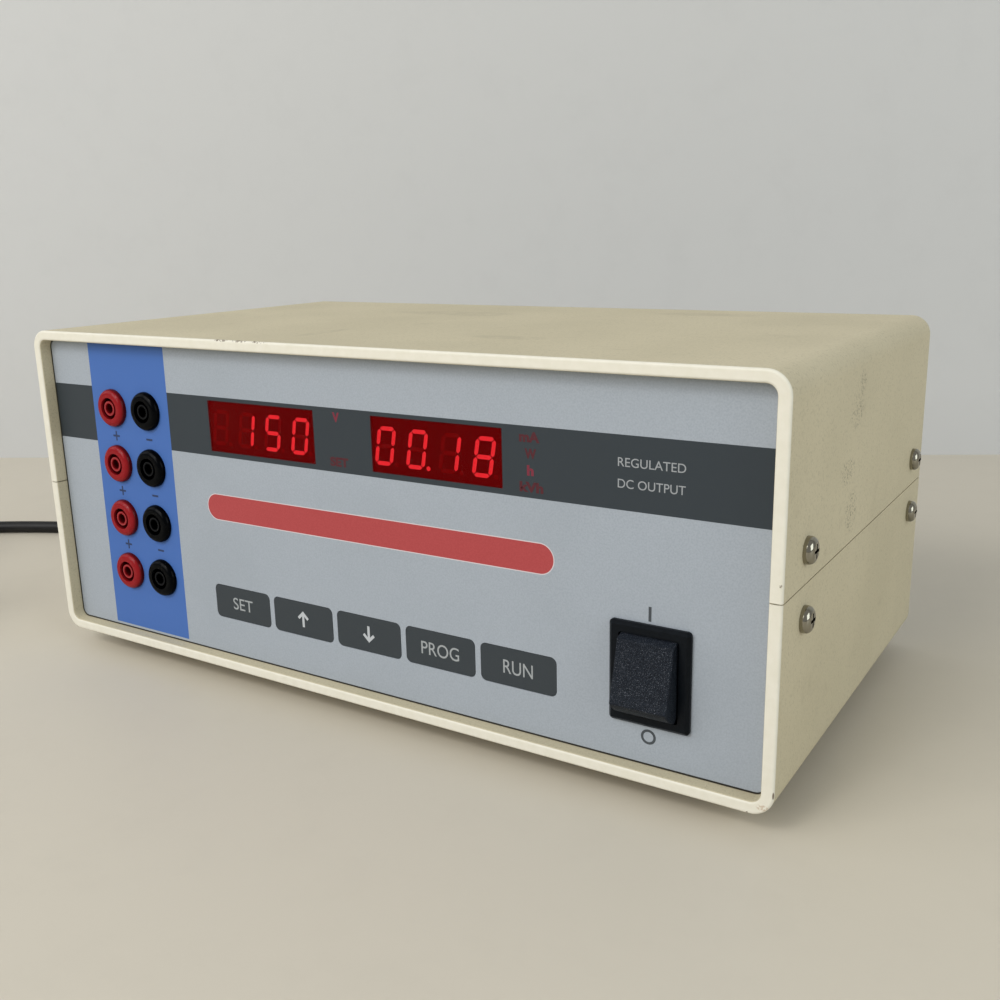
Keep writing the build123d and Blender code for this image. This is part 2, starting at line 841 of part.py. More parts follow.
board_z = (floor_z + board_bottom_height, floor_z + board_top_height)
front_board_holes = [
    (x, z)
    for x in (board_left + board_screw_inset, board_right - board_screw_inset)
    for z in (board_z[0] + board_screw_inset, board_z[1] - board_screw_inset)
]
power_board_holes = [
    (x, y)
    for x in (power_board_x[0] + board_screw_inset, power_board_x[1] - board_screw_inset)
    for y in (power_board_y[0] + board_screw_inset, power_board_y[1] - board_screw_inset)
]


def front_board():
    """The board behind the panel."""
    body = block((board_left, board_right), (board_front_y, board_back_y), board_z)
    y = (board_front_y - 1, board_back_y + 1)
    return cut(body, [rod_y(board_hole_radius + board_slack, x, y, z) for x, z in front_board_holes])


def board_spacers():
    """The spacers under both boards."""
    pieces = []
    for x, z in front_board_holes:
        body = rod_y(spacer_radius, x, (panel_back_y, board_front_y), z)
        pieces.append(body - rod_y(board_hole_radius, x, (panel_back_y + 1, board_front_y + 1), z))
    for x, y in power_board_holes:
        body = rod_z(spacer_radius, x, y, (chassis_top_z, power_board_z))
        pieces.append(body - rod_z(board_hole_radius, x, y, (chassis_top_z + 1, power_board_z + 1)))
    return pieces


def board_screws():
    """The screws that hold both boards on their spacers."""
    pieces = []
    head_radius = board_screw_radius + board_screw_head_reach
    for x, z in front_board_holes:
        head = rod_y(head_radius, x, (board_back_y, board_back_y + board_screw_head_height), z)
        shank = rod_y(board_screw_radius, x, (board_front_y - board_screw_grip, board_back_y), z)
        pieces.append(head + shank)
    for x, y in power_board_holes:
        head = rod_z(head_radius, x, y, (power_board_top_z, power_board_top_z + board_screw_head_height))
        shank = rod_z(board_screw_radius, x, y, (power_board_z - board_screw_grip, power_board_top_z))
        pieces.append(head + shank)
    return pieces


chips = ((-25.0, 55.0, 52.0, 15.0), (-35.0, 80.0, 24.0, 8.0), (5.0, 80.0, 24.0, 8.0))
chip_depth = 3.6


def control_chips():
    """The controller and its two drivers, on the back of the front board."""
    return [
        slab_y(rectangle_at(x, floor_z + height, *size), (board_back_y, board_back_y + chip_depth))
        for x, height, *size in chips
    ]


ribbon_x = 42.0
ribbon_width = 25.4
ribbon_thickness = 1.0


def ribbon_cable():
    """The flat cable from the front board down to the power board."""
    top = floor_z + 50.0
    points = (
        (ribbon_x, board_back_y, top),
        (ribbon_x, board_back_y + 12, top),
        (ribbon_x, board_back_y + 22, top - 18),
        (ribbon_x, power_board_y[0] + 10, power_board_top_z + 12),
        (ribbon_x, power_board_y[0] + 10, power_board_top_z),
    )
    path = FilletPolyline(*points, radius=[0.8 * r for r in bend_radii(points)])
    start = Plane(origin=path @ 0, x_dir=(1, 0, 0), z_dir=path % 0)
    return sweep(start * Rectangle(ribbon_width, ribbon_thickness), path=path)


# Inside the case


def chassis_plate():
    """The plate on the case's floor that carries the transformer and the power board."""
    x = side_x - chassis_inset[0]
    y = rear_y - chassis_inset[1]
    body = block((-x, x), (-y, y), (chassis_z, chassis_top_z))
    holes = [rod_z(screw_pass_radius, *place, (chassis_z - 1, chassis_top_z + 1)) for place in foot_places]
    holes += [rod_z(screw_hole_radius, *place, (chassis_z - 1, chassis_top_z + 1)) for place in strap_holes]
    holes.append(rod_z(screw_hole_radius, *earth_place, (chassis_z - 1, chassis_top_z + 1)))
    return cut(body, holes + floor_vents((chassis_z - 1, chassis_top_z + 1)))


def feet():
    """Four rubber feet, each with a recess for its screw."""
    pieces = []
    for x, y in foot_places:
        body = Pos(x, y, foot_height / 2) * Cone(foot_radius * 0.86, foot_radius, foot_height)
        recess = rod_z(screw_head_radius + 0.6, x, y, (-1, foot_height - 4))
        pieces.append(cut(body, [recess, rod_z(screw_pass_radius, x, y, (0, foot_height + 1))]))
    return pieces


def foot_screws():
    """The screws that go up through the feet."""
    pieces = []
    seat = foot_height - 4
    for x, y in foot_places:
        head = rod_z(screw_head_radius, x, y, (seat - 2.4, seat))
        pieces.append(head + rod_z(screw_radius, x, y, (seat, chassis_top_z + 4)))
    return pieces


def foot_nuts():
    """The nuts of the foot screws, on the chassis plate."""
    pieces = []
    for x, y in foot_places:
        hexagon = Pos(x, y, chassis_top_z) * RegularPolygon(hexagon_radius, 6, major_radius=False)
        body = extrude(hexagon, hexagon_height)
        pieces.append(body - rod_z(screw_hole_radius, x, y, (chassis_top_z - 1, chassis_top_z + 5)))
    return pieces


transformer_y = rear_inside_y - transformer_from_rear
core_bottom_z = chassis_top_z + strap_thickness + core_lift
core_z = (core_bottom_z, core_bottom_z + core_size[2])
core_middle_z = (core_z[0] + core_z[1]) / 2
strap_outer = core_size[0] / 2 + strap_thickness
strap_holes = [(transformer_x + side * (strap_outer + strap_foot / 2), transformer_y) for side in (-1, 1)]
earth_place = (transformer_x - 50.0, transformer_y + 34.0)


def transformer_core():
    """The stack of laminations, with a window each side of its middle leg."""
    half_x, half_y = core_size[0] / 2, core_size[1] / 2
    y = (transformer_y - half_y, transformer_y + half_y)
    body = block((transformer_x - half_x, transformer_x + half_x), y, core_z)
    windows = []
    for side in (-1, 1):
        x = sorted(transformer_x + side * reach for reach in (core_leg / 2, core_leg / 2 + core_window))
        z = (core_middle_z - core_window_height / 2, core_middle_z + core_window_height / 2)
        windows.append(block(x, (y[0] - 1, y[1] + 1), z))
    return cut(body, windows)


def transformer_winding():
    """The coil on the middle leg."""
    outer_x = core_leg / 2 + core_window - winding_gap
    outer_y = core_size[1] / 2 + winding_wall
    half_z = core_window_height / 2 - winding_gap
    outer = Rectangle(2 * outer_x, 2 * outer_y)
    outer = fillet(outer.vertices(), 6.0)
    inner = Rectangle(core_leg + 2 * winding_gap, core_size[1] + 2 * winding_gap)
    return extrude(Pos(transformer_x, transformer_y, core_middle_z - half_z) * (outer - inner), 2 * half_z)


def transformer_strap():
    """The strap over the core, with a foot each side and blocks that carry the core."""
    y = (transformer_y - strap_width / 2, transformer_y + strap_width / 2)
    inner = core_size[0] / 2 + winding_gap
    outer = inner + strap_thickness
    top = core_z[1] + winding_gap
    pieces = [block((transformer_x - outer, transformer_x + outer), y, (top, top + strap_thickness))]
    for side in (-1, 1):
        x = sorted((transformer_x + side * inner, transformer_x + side * outer))
        pieces.append(block(x, y, (chassis_top_z, top + strap_thickness)))
        x = sorted((transformer_x + side * inner, transformer_x + side * (outer + strap_foot)))
        pieces.append(block(x, y, (chassis_top_z, chassis_top_z + strap_thickness)))
        x = sorted((transformer_x + side * outer, transformer_x + side * (inner - 8)))
        pieces.append(block(x, y, (chassis_top_z, core_z[0])))
    hole_z = (chassis_top_z - 1, chassis_top_z + strap_thickness + 1)
    return cut(join(pieces), [rod_z(screw_pass_radius, *place, hole_z) for place in strap_holes])


def transformer_bolts():
    """The bolts through the strap's feet into the chassis plate."""
    seat = chassis_top_z + strap_thickness
    pieces = []
    for x, y in strap_holes:
        hexagon = Pos(x, y, seat) * RegularPolygon(hexagon_radius, 6, major_radius=False)
        head = extrude(hexagon, screw_head_height)
        pieces.append(head + rod_z(screw_radius, x, y, (chassis_z + 0.1, seat)))
    return pieces


def earth_stud():
    """The protective earth stud in the chassis plate, with its nut."""
    x, y = earth_place
    stud = rod_z(screw_radius, x, y, (chassis_z + 0.1, chassis_top_z + 10))
    hexagon = Pos(x, y, chassis_top_z) * RegularPolygon(hexagon_radius, 6, major_radius=False)
    return stud + extrude(hexagon, hexagon_height)


def power_board():
    """The board that holds the converter."""
    body = block(power_board_x, power_board_y, (power_board_z, power_board_top_z))
    z = (power_board_z - 1, power_board_top_z + 1)
    return cut(body, [rod_z(board_hole_radius + board_slack, *place, z) for place in power_board_holes])


power_middle_y = sum(power_board_y) / 2


def bulk_capacitors():
    """Two large capacitors, rounded at the top and with a groove near the foot."""
    pieces = []
    for i in (-0.5, 0.5):
        y = power_middle_y - 6 + i * capacitor_pitch
        z = (power_board_top_z, power_board_top_z + capacitor_height)
        body = rod_z(capacitor_radius, capacitor_x, y, z)
        body = fillet(body.faces().sort_by(Axis.Z)[-1].edges(), 1.5)
        groove = Pos(capacitor_x, y, z[0] + 4) * Torus(capacitor_radius + 0.4, 1.2)
        pieces.append(body - groove)
    return pieces


sink_y = power_middle_y - 2.0


def heat_sink():
    """A finned extrusion that stands on the power board."""
    z = (power_board_top_z, power_board_top_z + sink_height)
    pieces = [block(sink_x, (sink_y, sink_y + sink_base), z)]
    pitch = (sink_x[1] - sink_x[0] - sink_fin_thickness) / (sink_fin_count - 1)
    for i in range(sink_fin_count):
        x = sink_x[0] + i * pitch
        y = (sink_y + sink_base, sink_y + sink_base + sink_fin_length)
        pieces.append(block((x, x + sink_fin_thickness), y, z))
    return join(pieces)


def transistors():
    """Power transistors on the heat sink's flat face, with their legs in the board."""
    width, depth, height = transistor_size
    pieces = []
    pitch = (sink_x[1] - sink_x[0]) / transistor_count
    for i in range(transistor_count):
        x = sink_x[0] + (i + 0.5) * pitch
        z = power_board_top_z + 9.0
        body = block((x - width / 2, x + width / 2), (sink_y - depth, sink_y), (z, z + height))
        legs = [
            block((x + dx - 0.6, x + dx + 0.6), (sink_y - 3, sink_y - 2.2), (power_board_top_z, z))
            for dx in (-5.4, 0, 5.4)
        ]
        pieces.append(join([body] + legs))
    return pieces


# Rear panel and fan


def fan_corners():
    """The centres of the fan's four screws."""
    half = fan_screw_pitch / 2
    return [(fan_x + sx * half, fan_z + sz * half) for sx in (-1, 1) for sz in (-1, 1)]


def rear_panel():
    """The rear panel, with its fan opening, vents, fuse hole and lead entry, and its two strips."""
    outline = panel_outline() - Pos(fan_x, fan_z) * Circle(fan_bore)
    for x, z in fan_corners():
        outline = outline - Pos(x, z) * Circle(screw_pass_radius)
    outline = outline - Pos(fuse_x, fuse_z) * Circle(fuse_holder_radius + hole_gap)
    outline = outline - Pos(relief_x, relief_z) * Circle(relief_neck_radius + hole_gap)
    for i in range(8):
        slot = Pos(relief_x + 16, floor_z + 55 + 7 * i) * SlotOverall(70, 3)
        outline = outline - slot
    body = slab_y(outline, (rear_inside_y, rear_face_y))
    y = (rear_inside_y - bracket_depth, rear_inside_y)
    return [body] + [panel_bracket(side, y, side_screw_y[1]) for side in (-1, 1)]


fan_y = (rear_inside_y - fan_depth, rear_inside_y)


def fan_frame():
    """The fan's square housing, with three struts that carry its bearing."""
    outline = Pos(fan_x, fan_z) * (RectangleRounded(fan_size, fan_size, 3.0) - Circle(fan_bore))
    for x, z in fan_corners():
        outline = outline - Pos(x, z) * Circle(screw_hole_radius)
    body = slab_y(outline, fan_y)
    strut_y = (fan_y[0], fan_y[0] + 3.0)
    boss = rod_y(fan_hub_radius, fan_x, strut_y, fan_z)
    struts = []
    for i in range(3):
        bar = Box(fan_bore + 0.8, 3.0, 4.0)
        turn = Pos(fan_x, sum(strut_y) / 2, fan_z) * Rot(0, 90 + 120 * i, 0)
        struts.append(turn * Pos((fan_bore + 0.8) / 2, 0, 0) * bar)
    body = join([body, boss] + struts)
    return body - rod_y(fan_shaft_radius + fit_gap, fan_x, (fan_y[0] - 1, fan_y[0] + 4), fan_z)


def fan_rotor():
    """The fan's hub, its twisted blades and its shaft."""
    y = (fan_y[0] + 3.3, fan_y[1] - 2.0)
    hub = rod_y(fan_hub_radius, 0, y, 0)
    hub = fillet(hub.faces().sort_by(Axis.Y)[-1].edges(), 2.0)
    blades = []
    span = fan_blade_radius - fan_hub_radius + 2
    depth = y[1] - y[0] - 5
    middle_y = (y[0] + y[1]) / 2 - 0.5
    for i in range(fan_blade_count):
        blade = Pos(fan_hub_radius - 2 + span / 2, 0, 0) * Rot(38, 0, 0) * Box(span, depth, 1.2)
        blades.append(Rot(0, 360 / fan_blade_count * i, 0) * Pos(0, middle_y, 0) * blade)
    tip = Rot(90, 0, 0) * Cylinder(fan_blade_radius, 2 * fan_depth)
    blades = [blade & (Pos(0, middle_y, 0) * tip) for blade in blades]
    shaft = rod_y(fan_shaft_radius, 0, (fan_y[0] + 0.2, y[0]), 0)
    return Pos(fan_x, 0, fan_z) * join([hub, shaft] + blades)


def fan_guard():
    """The wire guard outside the fan: rings, two cross wires and four eyes."""
    y = rear_face_y + guard_wire
    lay = rear_face_y + 2.6 * guard_wire
    centre = Pos(fan_x, lay, fan_z) * Rot(90, 0, 0)
    rings = [centre * Torus(radius, guard_wire) for radius in guard_rings]
    eyes = []
    wires = []
    reach = fan_screw_pitch / math.sqrt(2)
    for i in range(4):
        turn = Pos(fan_x, y, fan_z) * Rot(0, 45 + 90 * i, 0)
        length = reach - screw_head_radius - 1.0 - guard_rings[0] + guard_wire
        bar = Rot(0, 90, 0) * Cylinder(guard_wire, length)
        wires.append(turn * Pos(guard_rings[0] - guard_wire + length / 2, 0, 0) * bar)
        eye = Pos(reach, 0, 0) * Rot(90, 0, 0) * Torus(screw_head_radius - 0.2 + guard_wire, guard_wire)
        eyes.append(turn * eye)
    return join(rings + wires + eyes)


def fan_screws():
    """The screws that hold the fan and its guard."""
    pieces = []
    seat = rear_face_y + 2 * guard_wire
    for x, z in fan_corners():
        washer = rod_y(screw_head_radius + 1.5, x, (seat, seat + 0.8), z)
        head = rod_y(screw_head_radius, x, (seat + 0.8, seat + 3.2), z)
        head = fillet(head.faces().sort_by(Axis.Y)[-1].edges(), 1.4)
        shank = rod_y(screw_radius, x, (rear_inside_y - 8, seat), z)
        slot = block((x - 3, x + 3), (seat + 2.2, seat + 4), (z - 0.4, z + 0.4))
        pieces.append(join([washer, head, shank]) - slot)
    return pieces


# Fuse and lead entry


def fuse_holder():
    """The fuse holder's body through the rear panel."""
    flange_y = (rear_face_y, rear_face_y + fuse_flange_thickness)
    body = rod_y(fuse_holder_radius, fuse_x, (fuse_holder_end, rear_face_y), fuse_z)
    body = body + rod_y(fuse_holder_radius + fuse_flange_reach, fuse_x, flange_y, fuse_z)
    body = fillet(body.faces().sort_by(Axis.Y)[-1].edges(), 0.6)
    bore = rod_y(fuse_bore_radius, fuse_x, (fuse_y[0] - 0.3, flange_y[1] + 1), fuse_z)
    nut = RegularPolygon(fuse_holder_radius + fuse_nut_reach, 6, major_radius=False)
    nut = nut - Circle(fuse_holder_radius)
    nut = slab_y(Pos(fuse_x, fuse_z) * nut, (rear_inside_y - 3.0, rear_inside_y))
    return cut(body + nut, [bore])


def fuse():
    """The 5 by 20 fuse: a glass tube between two metal caps."""
    body = rod_y(fuse_radius - 0.2, fuse_x, fuse_y, fuse_z)
    ends = [
        rod_y(fuse_radius, fuse_x, (fuse_y[0], fuse_y[0] + fuse_end_length), fuse_z),
        rod_y(fuse_radius, fuse_x, (fuse_y[1] - fuse_end_length, fuse_y[1]), fuse_z),
    ]
    return join([body] + ends)


def fuse_cap():
    """The cap that holds the fuse, with a screwdriver slot and grip flutes."""
    start = rear_face_y + fuse_flange_thickness
    end = start + fuse_cap_length
    fuse_cap_radius = fuse_holder_radius + fuse_cap_reach
    body = rod_y(fuse_cap_radius, fuse_x, (start, end), fuse_z)
    body = fillet(body.faces().sort_by(Axis.Y)[-1].edges(), 1.0)
    stub = rod_y(fuse_bore_radius - 0.2, fuse_x, (fuse_y[1] + 0.1, start), fuse_z)
    slot = block(
        (fuse_x - fuse_cap_radius - 1, fuse_x + fuse_cap_radius + 1),
        (end - 1.6, end + 1),
        (fuse_z - 0.7, fuse_z + 0.7),
    )
    flutes = []
    for i in range(12):
        angle = math.radians(15 + 30 * i)
        x = fuse_x + fuse_cap_radius * math.cos(angle)
        z = fuse_z + fuse_cap_radius * math.sin(angle)
        flutes.append(rod_y(0.7, x, (start + 2.5, end + 1), z))
    return cut(body + stub, [slot] + flutes)


def strain_relief():
    """The tapered, grooved sleeve that the mains cord leaves through."""
    thickness = relief_collar_thickness
    end = rear_face_y + relief_length
    collar = rod_y(relief_collar_radius, 0, (rear_inside_y - thickness, rear_inside_y), 0)
    neck = rod_y(relief_neck_radius, 0, (rear_inside_y, rear_face_y), 0)
    flange = rod_y(relief_collar_radius, 0, (rear_face_y, rear_face_y + thickness), 0)
    length = relief_length - thickness
    cone = Pos(0, end - length / 2, 0) * Rot(-90, 0, 0) * Cone(relief_radius, relief_tip_radius, length)
    body = join([collar, neck, flange, cone])
    grooves = []
    for i in range(5):
        y = rear_face_y + 8 + 4.6 * i
        outer = rod_y(relief_collar_radius, 0, (y, y + 1.8), 0)
        core = relief_radius - relief_taper * (y - rear_face_y) / relief_length - 1.0
        grooves.append(outer - rod_y(core, 0, (y - 1, y + 3), 0))
    bore = rod_y(cord_diameter / 2 + fit_gap, 0, (end - relief_bore_depth, end + 1), 0)
    return Pos(relief_x, 0, relief_z) * cut(body, grooves + [bore])


# Leads inside the case


def mains_leads():
    """The leads between the cord, the fuse, the switch and the transformer."""
    relief_back = rear_inside_y - relief_collar_thickness
    low = chassis_top_z + strap_thickness + 2.5
    channel = power_board_y[0] - 9
    blade_z = switch_z - blade_spacing[1] / 2 - blade_size[1] / 2
    blade_y = face_y + switch_body_depth + 4
    blades = [switch_x + s * blade_spacing[0] / 2 for s in (-1, 1)]
    back_y = transformer_y + core_size[1] / 2 + winding_wall + 9
    to_fuse = (
        (relief_x + 4, relief_back, relief_z + 2),
        (relief_x + 4, relief_back - 9, relief_z + 2),
        (transformer_x, back_y + 1, relief_z - 12),
        (fuse_x - 9, back_y - 3, relief_z - 10),
        (fuse_x, back_y - 6, relief_z - 7),
        (fuse_x, back_y - 6, fuse_z - fuse_holder_radius),
    )
    to_switch = (
        (fuse_x, fuse_holder_end, fuse_z),
        (fuse_x, fuse_holder_end - 9, fuse_z),
        (fuse_x - 2, fuse_holder_end - 27, low + 7),
        (fuse_x - 3, channel + 8, low + 4),
        (fuse_x + 14, channel, low + 4),
        (blades[0] - 22, channel - 1, low),
        (blades[0], blade_y, low + 3),
        (blades[0], blade_y, blade_z),
    )
    around_x = transformer_x - strap_outer - strap_foot - 6
    return_lead = (
        (relief_x - 4, relief_back, relief_z),
        (relief_x - 4, relief_back - 9, relief_z),
        (around_x, back_y - 6, low + 2),
        (around_x - 1, channel + 24, low + 2),
        (around_x + 16, channel + 5, low),
        (blades[1] - 32, channel + 4.5, low),
        (blades[1], blade_y, low + 1),
        (blades[1], blade_y, blade_z),
    )
    earth_level = chassis_top_z + 6
    earth_lead = (
        (relief_x, relief_back, relief_z - 5),
        (relief_x, relief_back - 9, relief_z - 5),
        (earth_place[0] + 17, earth_place[1], earth_level),
        (earth_place[0] + screw_radius, earth_place[1], earth_level),
    )
    winding_front = transformer_y - core_size[1] / 2 - winding_wall
    high = switch_z + blade_spacing[1] / 2
    blade_end = face_y + switch_body_depth + blade_size[2]
    leads = [solid_tube(points, lead_radius) for points in (to_fuse, to_switch, return_lead, earth_lead)]
    for i, blade_x in enumerate(blades):
        start_x = transformer_x + 10 + 8 * i
        points = (
            (start_x, winding_front, core_middle_z + 8),
            (start_x, winding_front - 9, core_middle_z + 8),
            (transformer_x + 55, power_board_y[0] - 4.5 + 9 * i, high + 4),
            (blade_x - 20, power_board_y[0] - 4.5 + 9 * i, high + 1),
            (blade_x, blade_end + 7 + 5 * i, high),
            (blade_x, blade_end, high),
        )
        leads.append(solid_tube(points, lead_radius))
    return leads


# Mains cord


def coil_station(turns):
    """The coil's centreline after a number of turns: its place and its direction there.

    The radius falls by one pitch a turn to the reversing point and then grows at the same rate.
    The height rises by one pitch over the half turn round the reversing point.
    """
    end = coil_turns_in + coil_turns_out
    angle = math.radians(coil_start_angle) + 2 * math.pi * turns
    radius = coil_inner_radius + coil_pitch * abs(turns - coil_turns_in)
    climb = min(max((turns - coil_turns_in) * 2 + 0.5, 0.0), 1.0)
    height = coil_low + coil_pitch * climb * climb * (3 - 2 * climb)
    rise = coil_pitch * 6 * climb * (1 - climb) * 2
    steady = 0.01 < turns < end - 0.01 and abs(turns - coil_turns_in) > 0.01
    inward = math.copysign(coil_pitch, turns - coil_turns_in) if steady else 0.0
    around = 2 * math.pi * radius
    place = Vector(
        coil_centre[0] + radius * math.cos(angle),
        coil_centre[1] + radius * math.sin(angle),
        height,
    )
    direction = Vector(
        inward * math.cos(angle) - around * math.sin(angle),
        inward * math.sin(angle) + around * math.cos(angle),
        rise,
    )
    return place, direction.normalized()


def two_arcs(start, start_way, end, end_way):
    """Two arcs that leave the start and reach the end in the given directions."""
    chord = end - start
    ways = start_way + end_way
    a = 2 * (1 - start_way.dot(end_way))
    b = chord.dot(ways)
    reach = (-b + math.sqrt(b * b + a * chord.dot(chord))) / a
    joint = ((start + start_way * reach) + (end - end_way * reach)) * 0.5
    first = TangentArc(start, joint, tangent=start_way)
    return [first, TangentArc(joint, end, tangent=first % 1)]


def coil_path():
    """The whole coil's centreline, with a straight stretch at each end."""
    end = coil_turns_in + coil_turns_out
    stations = [coil_station(quarter / 4) for quarter in range(round(4 * end) + 1)]
    place, way = stations[0]
    pieces = [Line(place - way * cord_diameter, place)]
    for (here, way), (there, next_way) in zip(stations, stations[1:]):
        pieces += two_arcs(here, way, there, next_way)
    place, way = stations[-1]
    pieces.append(Line(place, place + way * cord_diameter))
    return Wire([piece.edge() for piece in pieces])


def least_gap(path, apart):
    """The least space between stretches of a path that are further apart along it than a length."""
    steps = int(path.length / 2)
    points = [path @ (i / steps) for i in range(steps + 1)]
    skip = int(apart / path.length * steps)
    gaps = [
        (points[i] - points[j]).length for i in range(len(points)) for j in range(i + skip, len(points))
    ]
    return min(gaps) - cord_diameter


def cord_coil():
    """The cord's unseen length as one coil of two layers."""
    path = coil_path()
    profile = Plane(origin=path @ 0, z_dir=path % 0) * Circle(cord_diameter / 2)
    gap = least_gap(path, 5 * cord_diameter)
    print("coil length", round(path.length, 1), "least gap to itself", round(gap, 3))
    return sweep(profile, path=path), path.length


def cord_tie():
    """The flat tie round the coil's turns."""
    near = coil_inner_radius + coil_pitch * 0.5 - cord_diameter / 2 - tie_gap
    far = coil_inner_radius + coil_pitch * 2.5 + cord_diameter / 2 + 0.3
    low = coil_low - cord_diameter / 2 - fit_gap
    high = coil_low + coil_pitch + cord_diameter / 2 + 0.15
    size = (far - near, high - low)
    centre = (coil_centre[1] + (near + far) / 2, (low + high) / 2)
    inner = RectangleRounded(*size, 3.0)
    outer_size = (size[0] + 2 * tie_thickness, size[1] + 2 * tie_thickness)
    outer = RectangleRounded(*outer_size, 3.0 + tie_thickness)
    x = (coil_centre[0] - tie_width / 2, coil_centre[0] + tie_width / 2)
    band = slab_x(Pos(*centre) * (outer - inner), x)
    tail_top = high + tie_thickness
    return band + block(x, (centre[0] - 4, centre[0] + 8), (tail_top, tail_top + tie_thickness))


def plug_place():
    """The plug's frame: its cord end at the tail's end, its pins pointing on along it."""
    before, end = [Vector(*point) for point in tail_route[-2:]]
    way = Vector(end.X - before.X, end.Y - before.Y, 0).normalized()
    return Plane(origin=end, x_dir=(0, 0, 1), z_dir=way)


def plug_body():
    """The round moulded plug with its tapered boot, lying on its side."""
    boot = Pos(0, 0, plug_boot_length / 2) * Cone(plug_boot_radius, plug_neck_radius - 2, plug_boot_length)
    shoulder_length = plug_length - plug_collar_length
    shoulder = Pos(0, 0, plug_boot_length + shoulder_length / 2) * Cone(
        plug_neck_radius, plug_radius - 1.5, shoulder_length
    )
    collar_start = plug_boot_length + shoulder_length
    collar = Pos(0, 0, collar_start + plug_collar_length / 2) * Cylinder(plug_radius, plug_collar_length)
    collar = fillet(collar.edges().filter_by(GeomType.CIRCLE), 1.0)
    body = join([boot, shoulder, collar])
    end = plug_boot_length + plug_length
    notches = [Pos(0, side * plug_radius, end - 6) * Box(8.0, 5.0, 14.0) for side in (-1, 1)]
    return plug_place() * cut(body, notches)


def plug_pins():
    """The plug's two pins, side by side."""
    start = plug_boot_length + plug_length
    pins = []
    for side in (-0.5, 0.5):
        pin = Cylinder(plug_pin_radius, plug_pin_length)
        pin = fillet(pin.faces().sort_by(Axis.Z)[-1].edges(), 1.2)
        pins.append(plug_place() * Pos(side * plug_pin_spacing, 0, start + plug_pin_length / 2) * pin)
    return pins


def write(name, pieces):
    """Writes one named piece, or a group of like pieces, to its own file."""
    solids = []
    for piece in pieces if isinstance(pieces, list) else [pieces]:
        solids += piece.solids()
    export_step(Compound(label=name, children=solids), f"parts/{name}.step")


def build():
    """Makes every piece and writes it."""
    os.makedirs("parts", exist_ok=True)
    free_cord, cord_path = tube(cord_route, cord_diameter / 2)
    tail, tail_path = tube(tail_route, cord_diameter / 2)
    coil, coil_length = cord_coil()
    section = math.pi * cord_diameter**2 / 4
    for name, solid, length in (
        ("free cord", free_cord, cord_path.length),
        ("tail", tail, tail_path.length),
        ("coil", coil, coil_length),
    ):
        ratio = solid.volume / section / length
        print(name, "length", round(length, 1), "volume over section times length", round(ratio, 5))
    print("cord length in all", round(cord_path.length + coil_length + tail_path.length, 1))
    print("radii of the free cord", [round(r, 1) for r in bend_radii(cord_route)])
    print("radii of the tail", [round(r, 1) for r in bend_radii(tail_route)])
    pieces = {
        "top_shell": top_shell(),
        "bottom_shell": bottom_shell(),
        "side_screws": side_screws(),
        "panel_nuts": panel_nuts(),
        "front_panel": front_panel(),
        "front_overlay": front_overlay(),
        "display_windows": display_windows(),
        "display_modules": display_modules(),
        "lit_segments": digit_segments(True),
        "dark_segments": digit_segments(False),
        "legend_lamps": lamp_blocks(),
        "front_board": front_board(),
        "board_spacers": board_spacers(),
        "board_screws": board_screws(),
        "key_switches": key_switches(),
        "control_chips": control_chips(),
        "ribbon_cable": ribbon_cable(),
        "red_sockets": sockets(socket_x[0]),
        "black_sockets": sockets(socket_x[1]),
        "socket_contacts": socket_contacts(),
        "socket_nuts": socket_nuts(),
        "output_leads": output_leads(),
        "switch_housing": switch_housing(),
        "switch_rocker": rocker(),
        "switch_terminals": switch_terminals(),
        "rear_panel": rear_panel(),
        "fan_frame": fan_frame(),
        "fan_rotor": fan_rotor(),
        "fan_guard": fan_guard(),
        "fan_screws": fan_screws(),
        "fuse_holder": fuse_holder(),
        "fuse": fuse(),
        "fuse_cap": fuse_cap(),
        "strain_relief": strain_relief(),
        "mains_cord": free_cord,
        "cord_coil": coil,
        "cord_tail": tail,
        "cord_tie": cord_tie(),
        "plug_body": plug_body(),
        "plug_pins": plug_pins(),
        "chassis_plate": chassis_plate(),
        "transformer_core": transformer_core(),
        "transformer_winding": transformer_winding(),
        "transformer_strap": transformer_strap(),
        "transformer_bolts": transformer_bolts(),
        "earth_stud": earth_stud(),
        "power_board": power_board(),
        "bulk_capacitors": bulk_capacitors(),
        "heat_sink": heat_sink(),
        "transistors": transistors(),
        "mains_leads": mains_leads(),
        "feet": feet(),
        "foot_screws": foot_screws(),
        "foot_nuts": foot_nuts(),
    }
    pieces.update({name: key(x) for name, x in zip(key_names, key_x)})
    for name, piece in pieces.items():
        write(name, piece)


build()
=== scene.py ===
# %% [markdown]
# A bench power supply stands on a pale table: two shells, a recessed front panel with sockets,
# red displays, flush keys and a rocker, and a black mains cord that leaves the back.
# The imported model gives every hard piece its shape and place. This scene adds what a drawing
# can't hold: the cord as one soft line, the printing on the panel, the finish of each piece,
# the light and the camera. Everything is in metres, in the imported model's own frame.

import json
import math

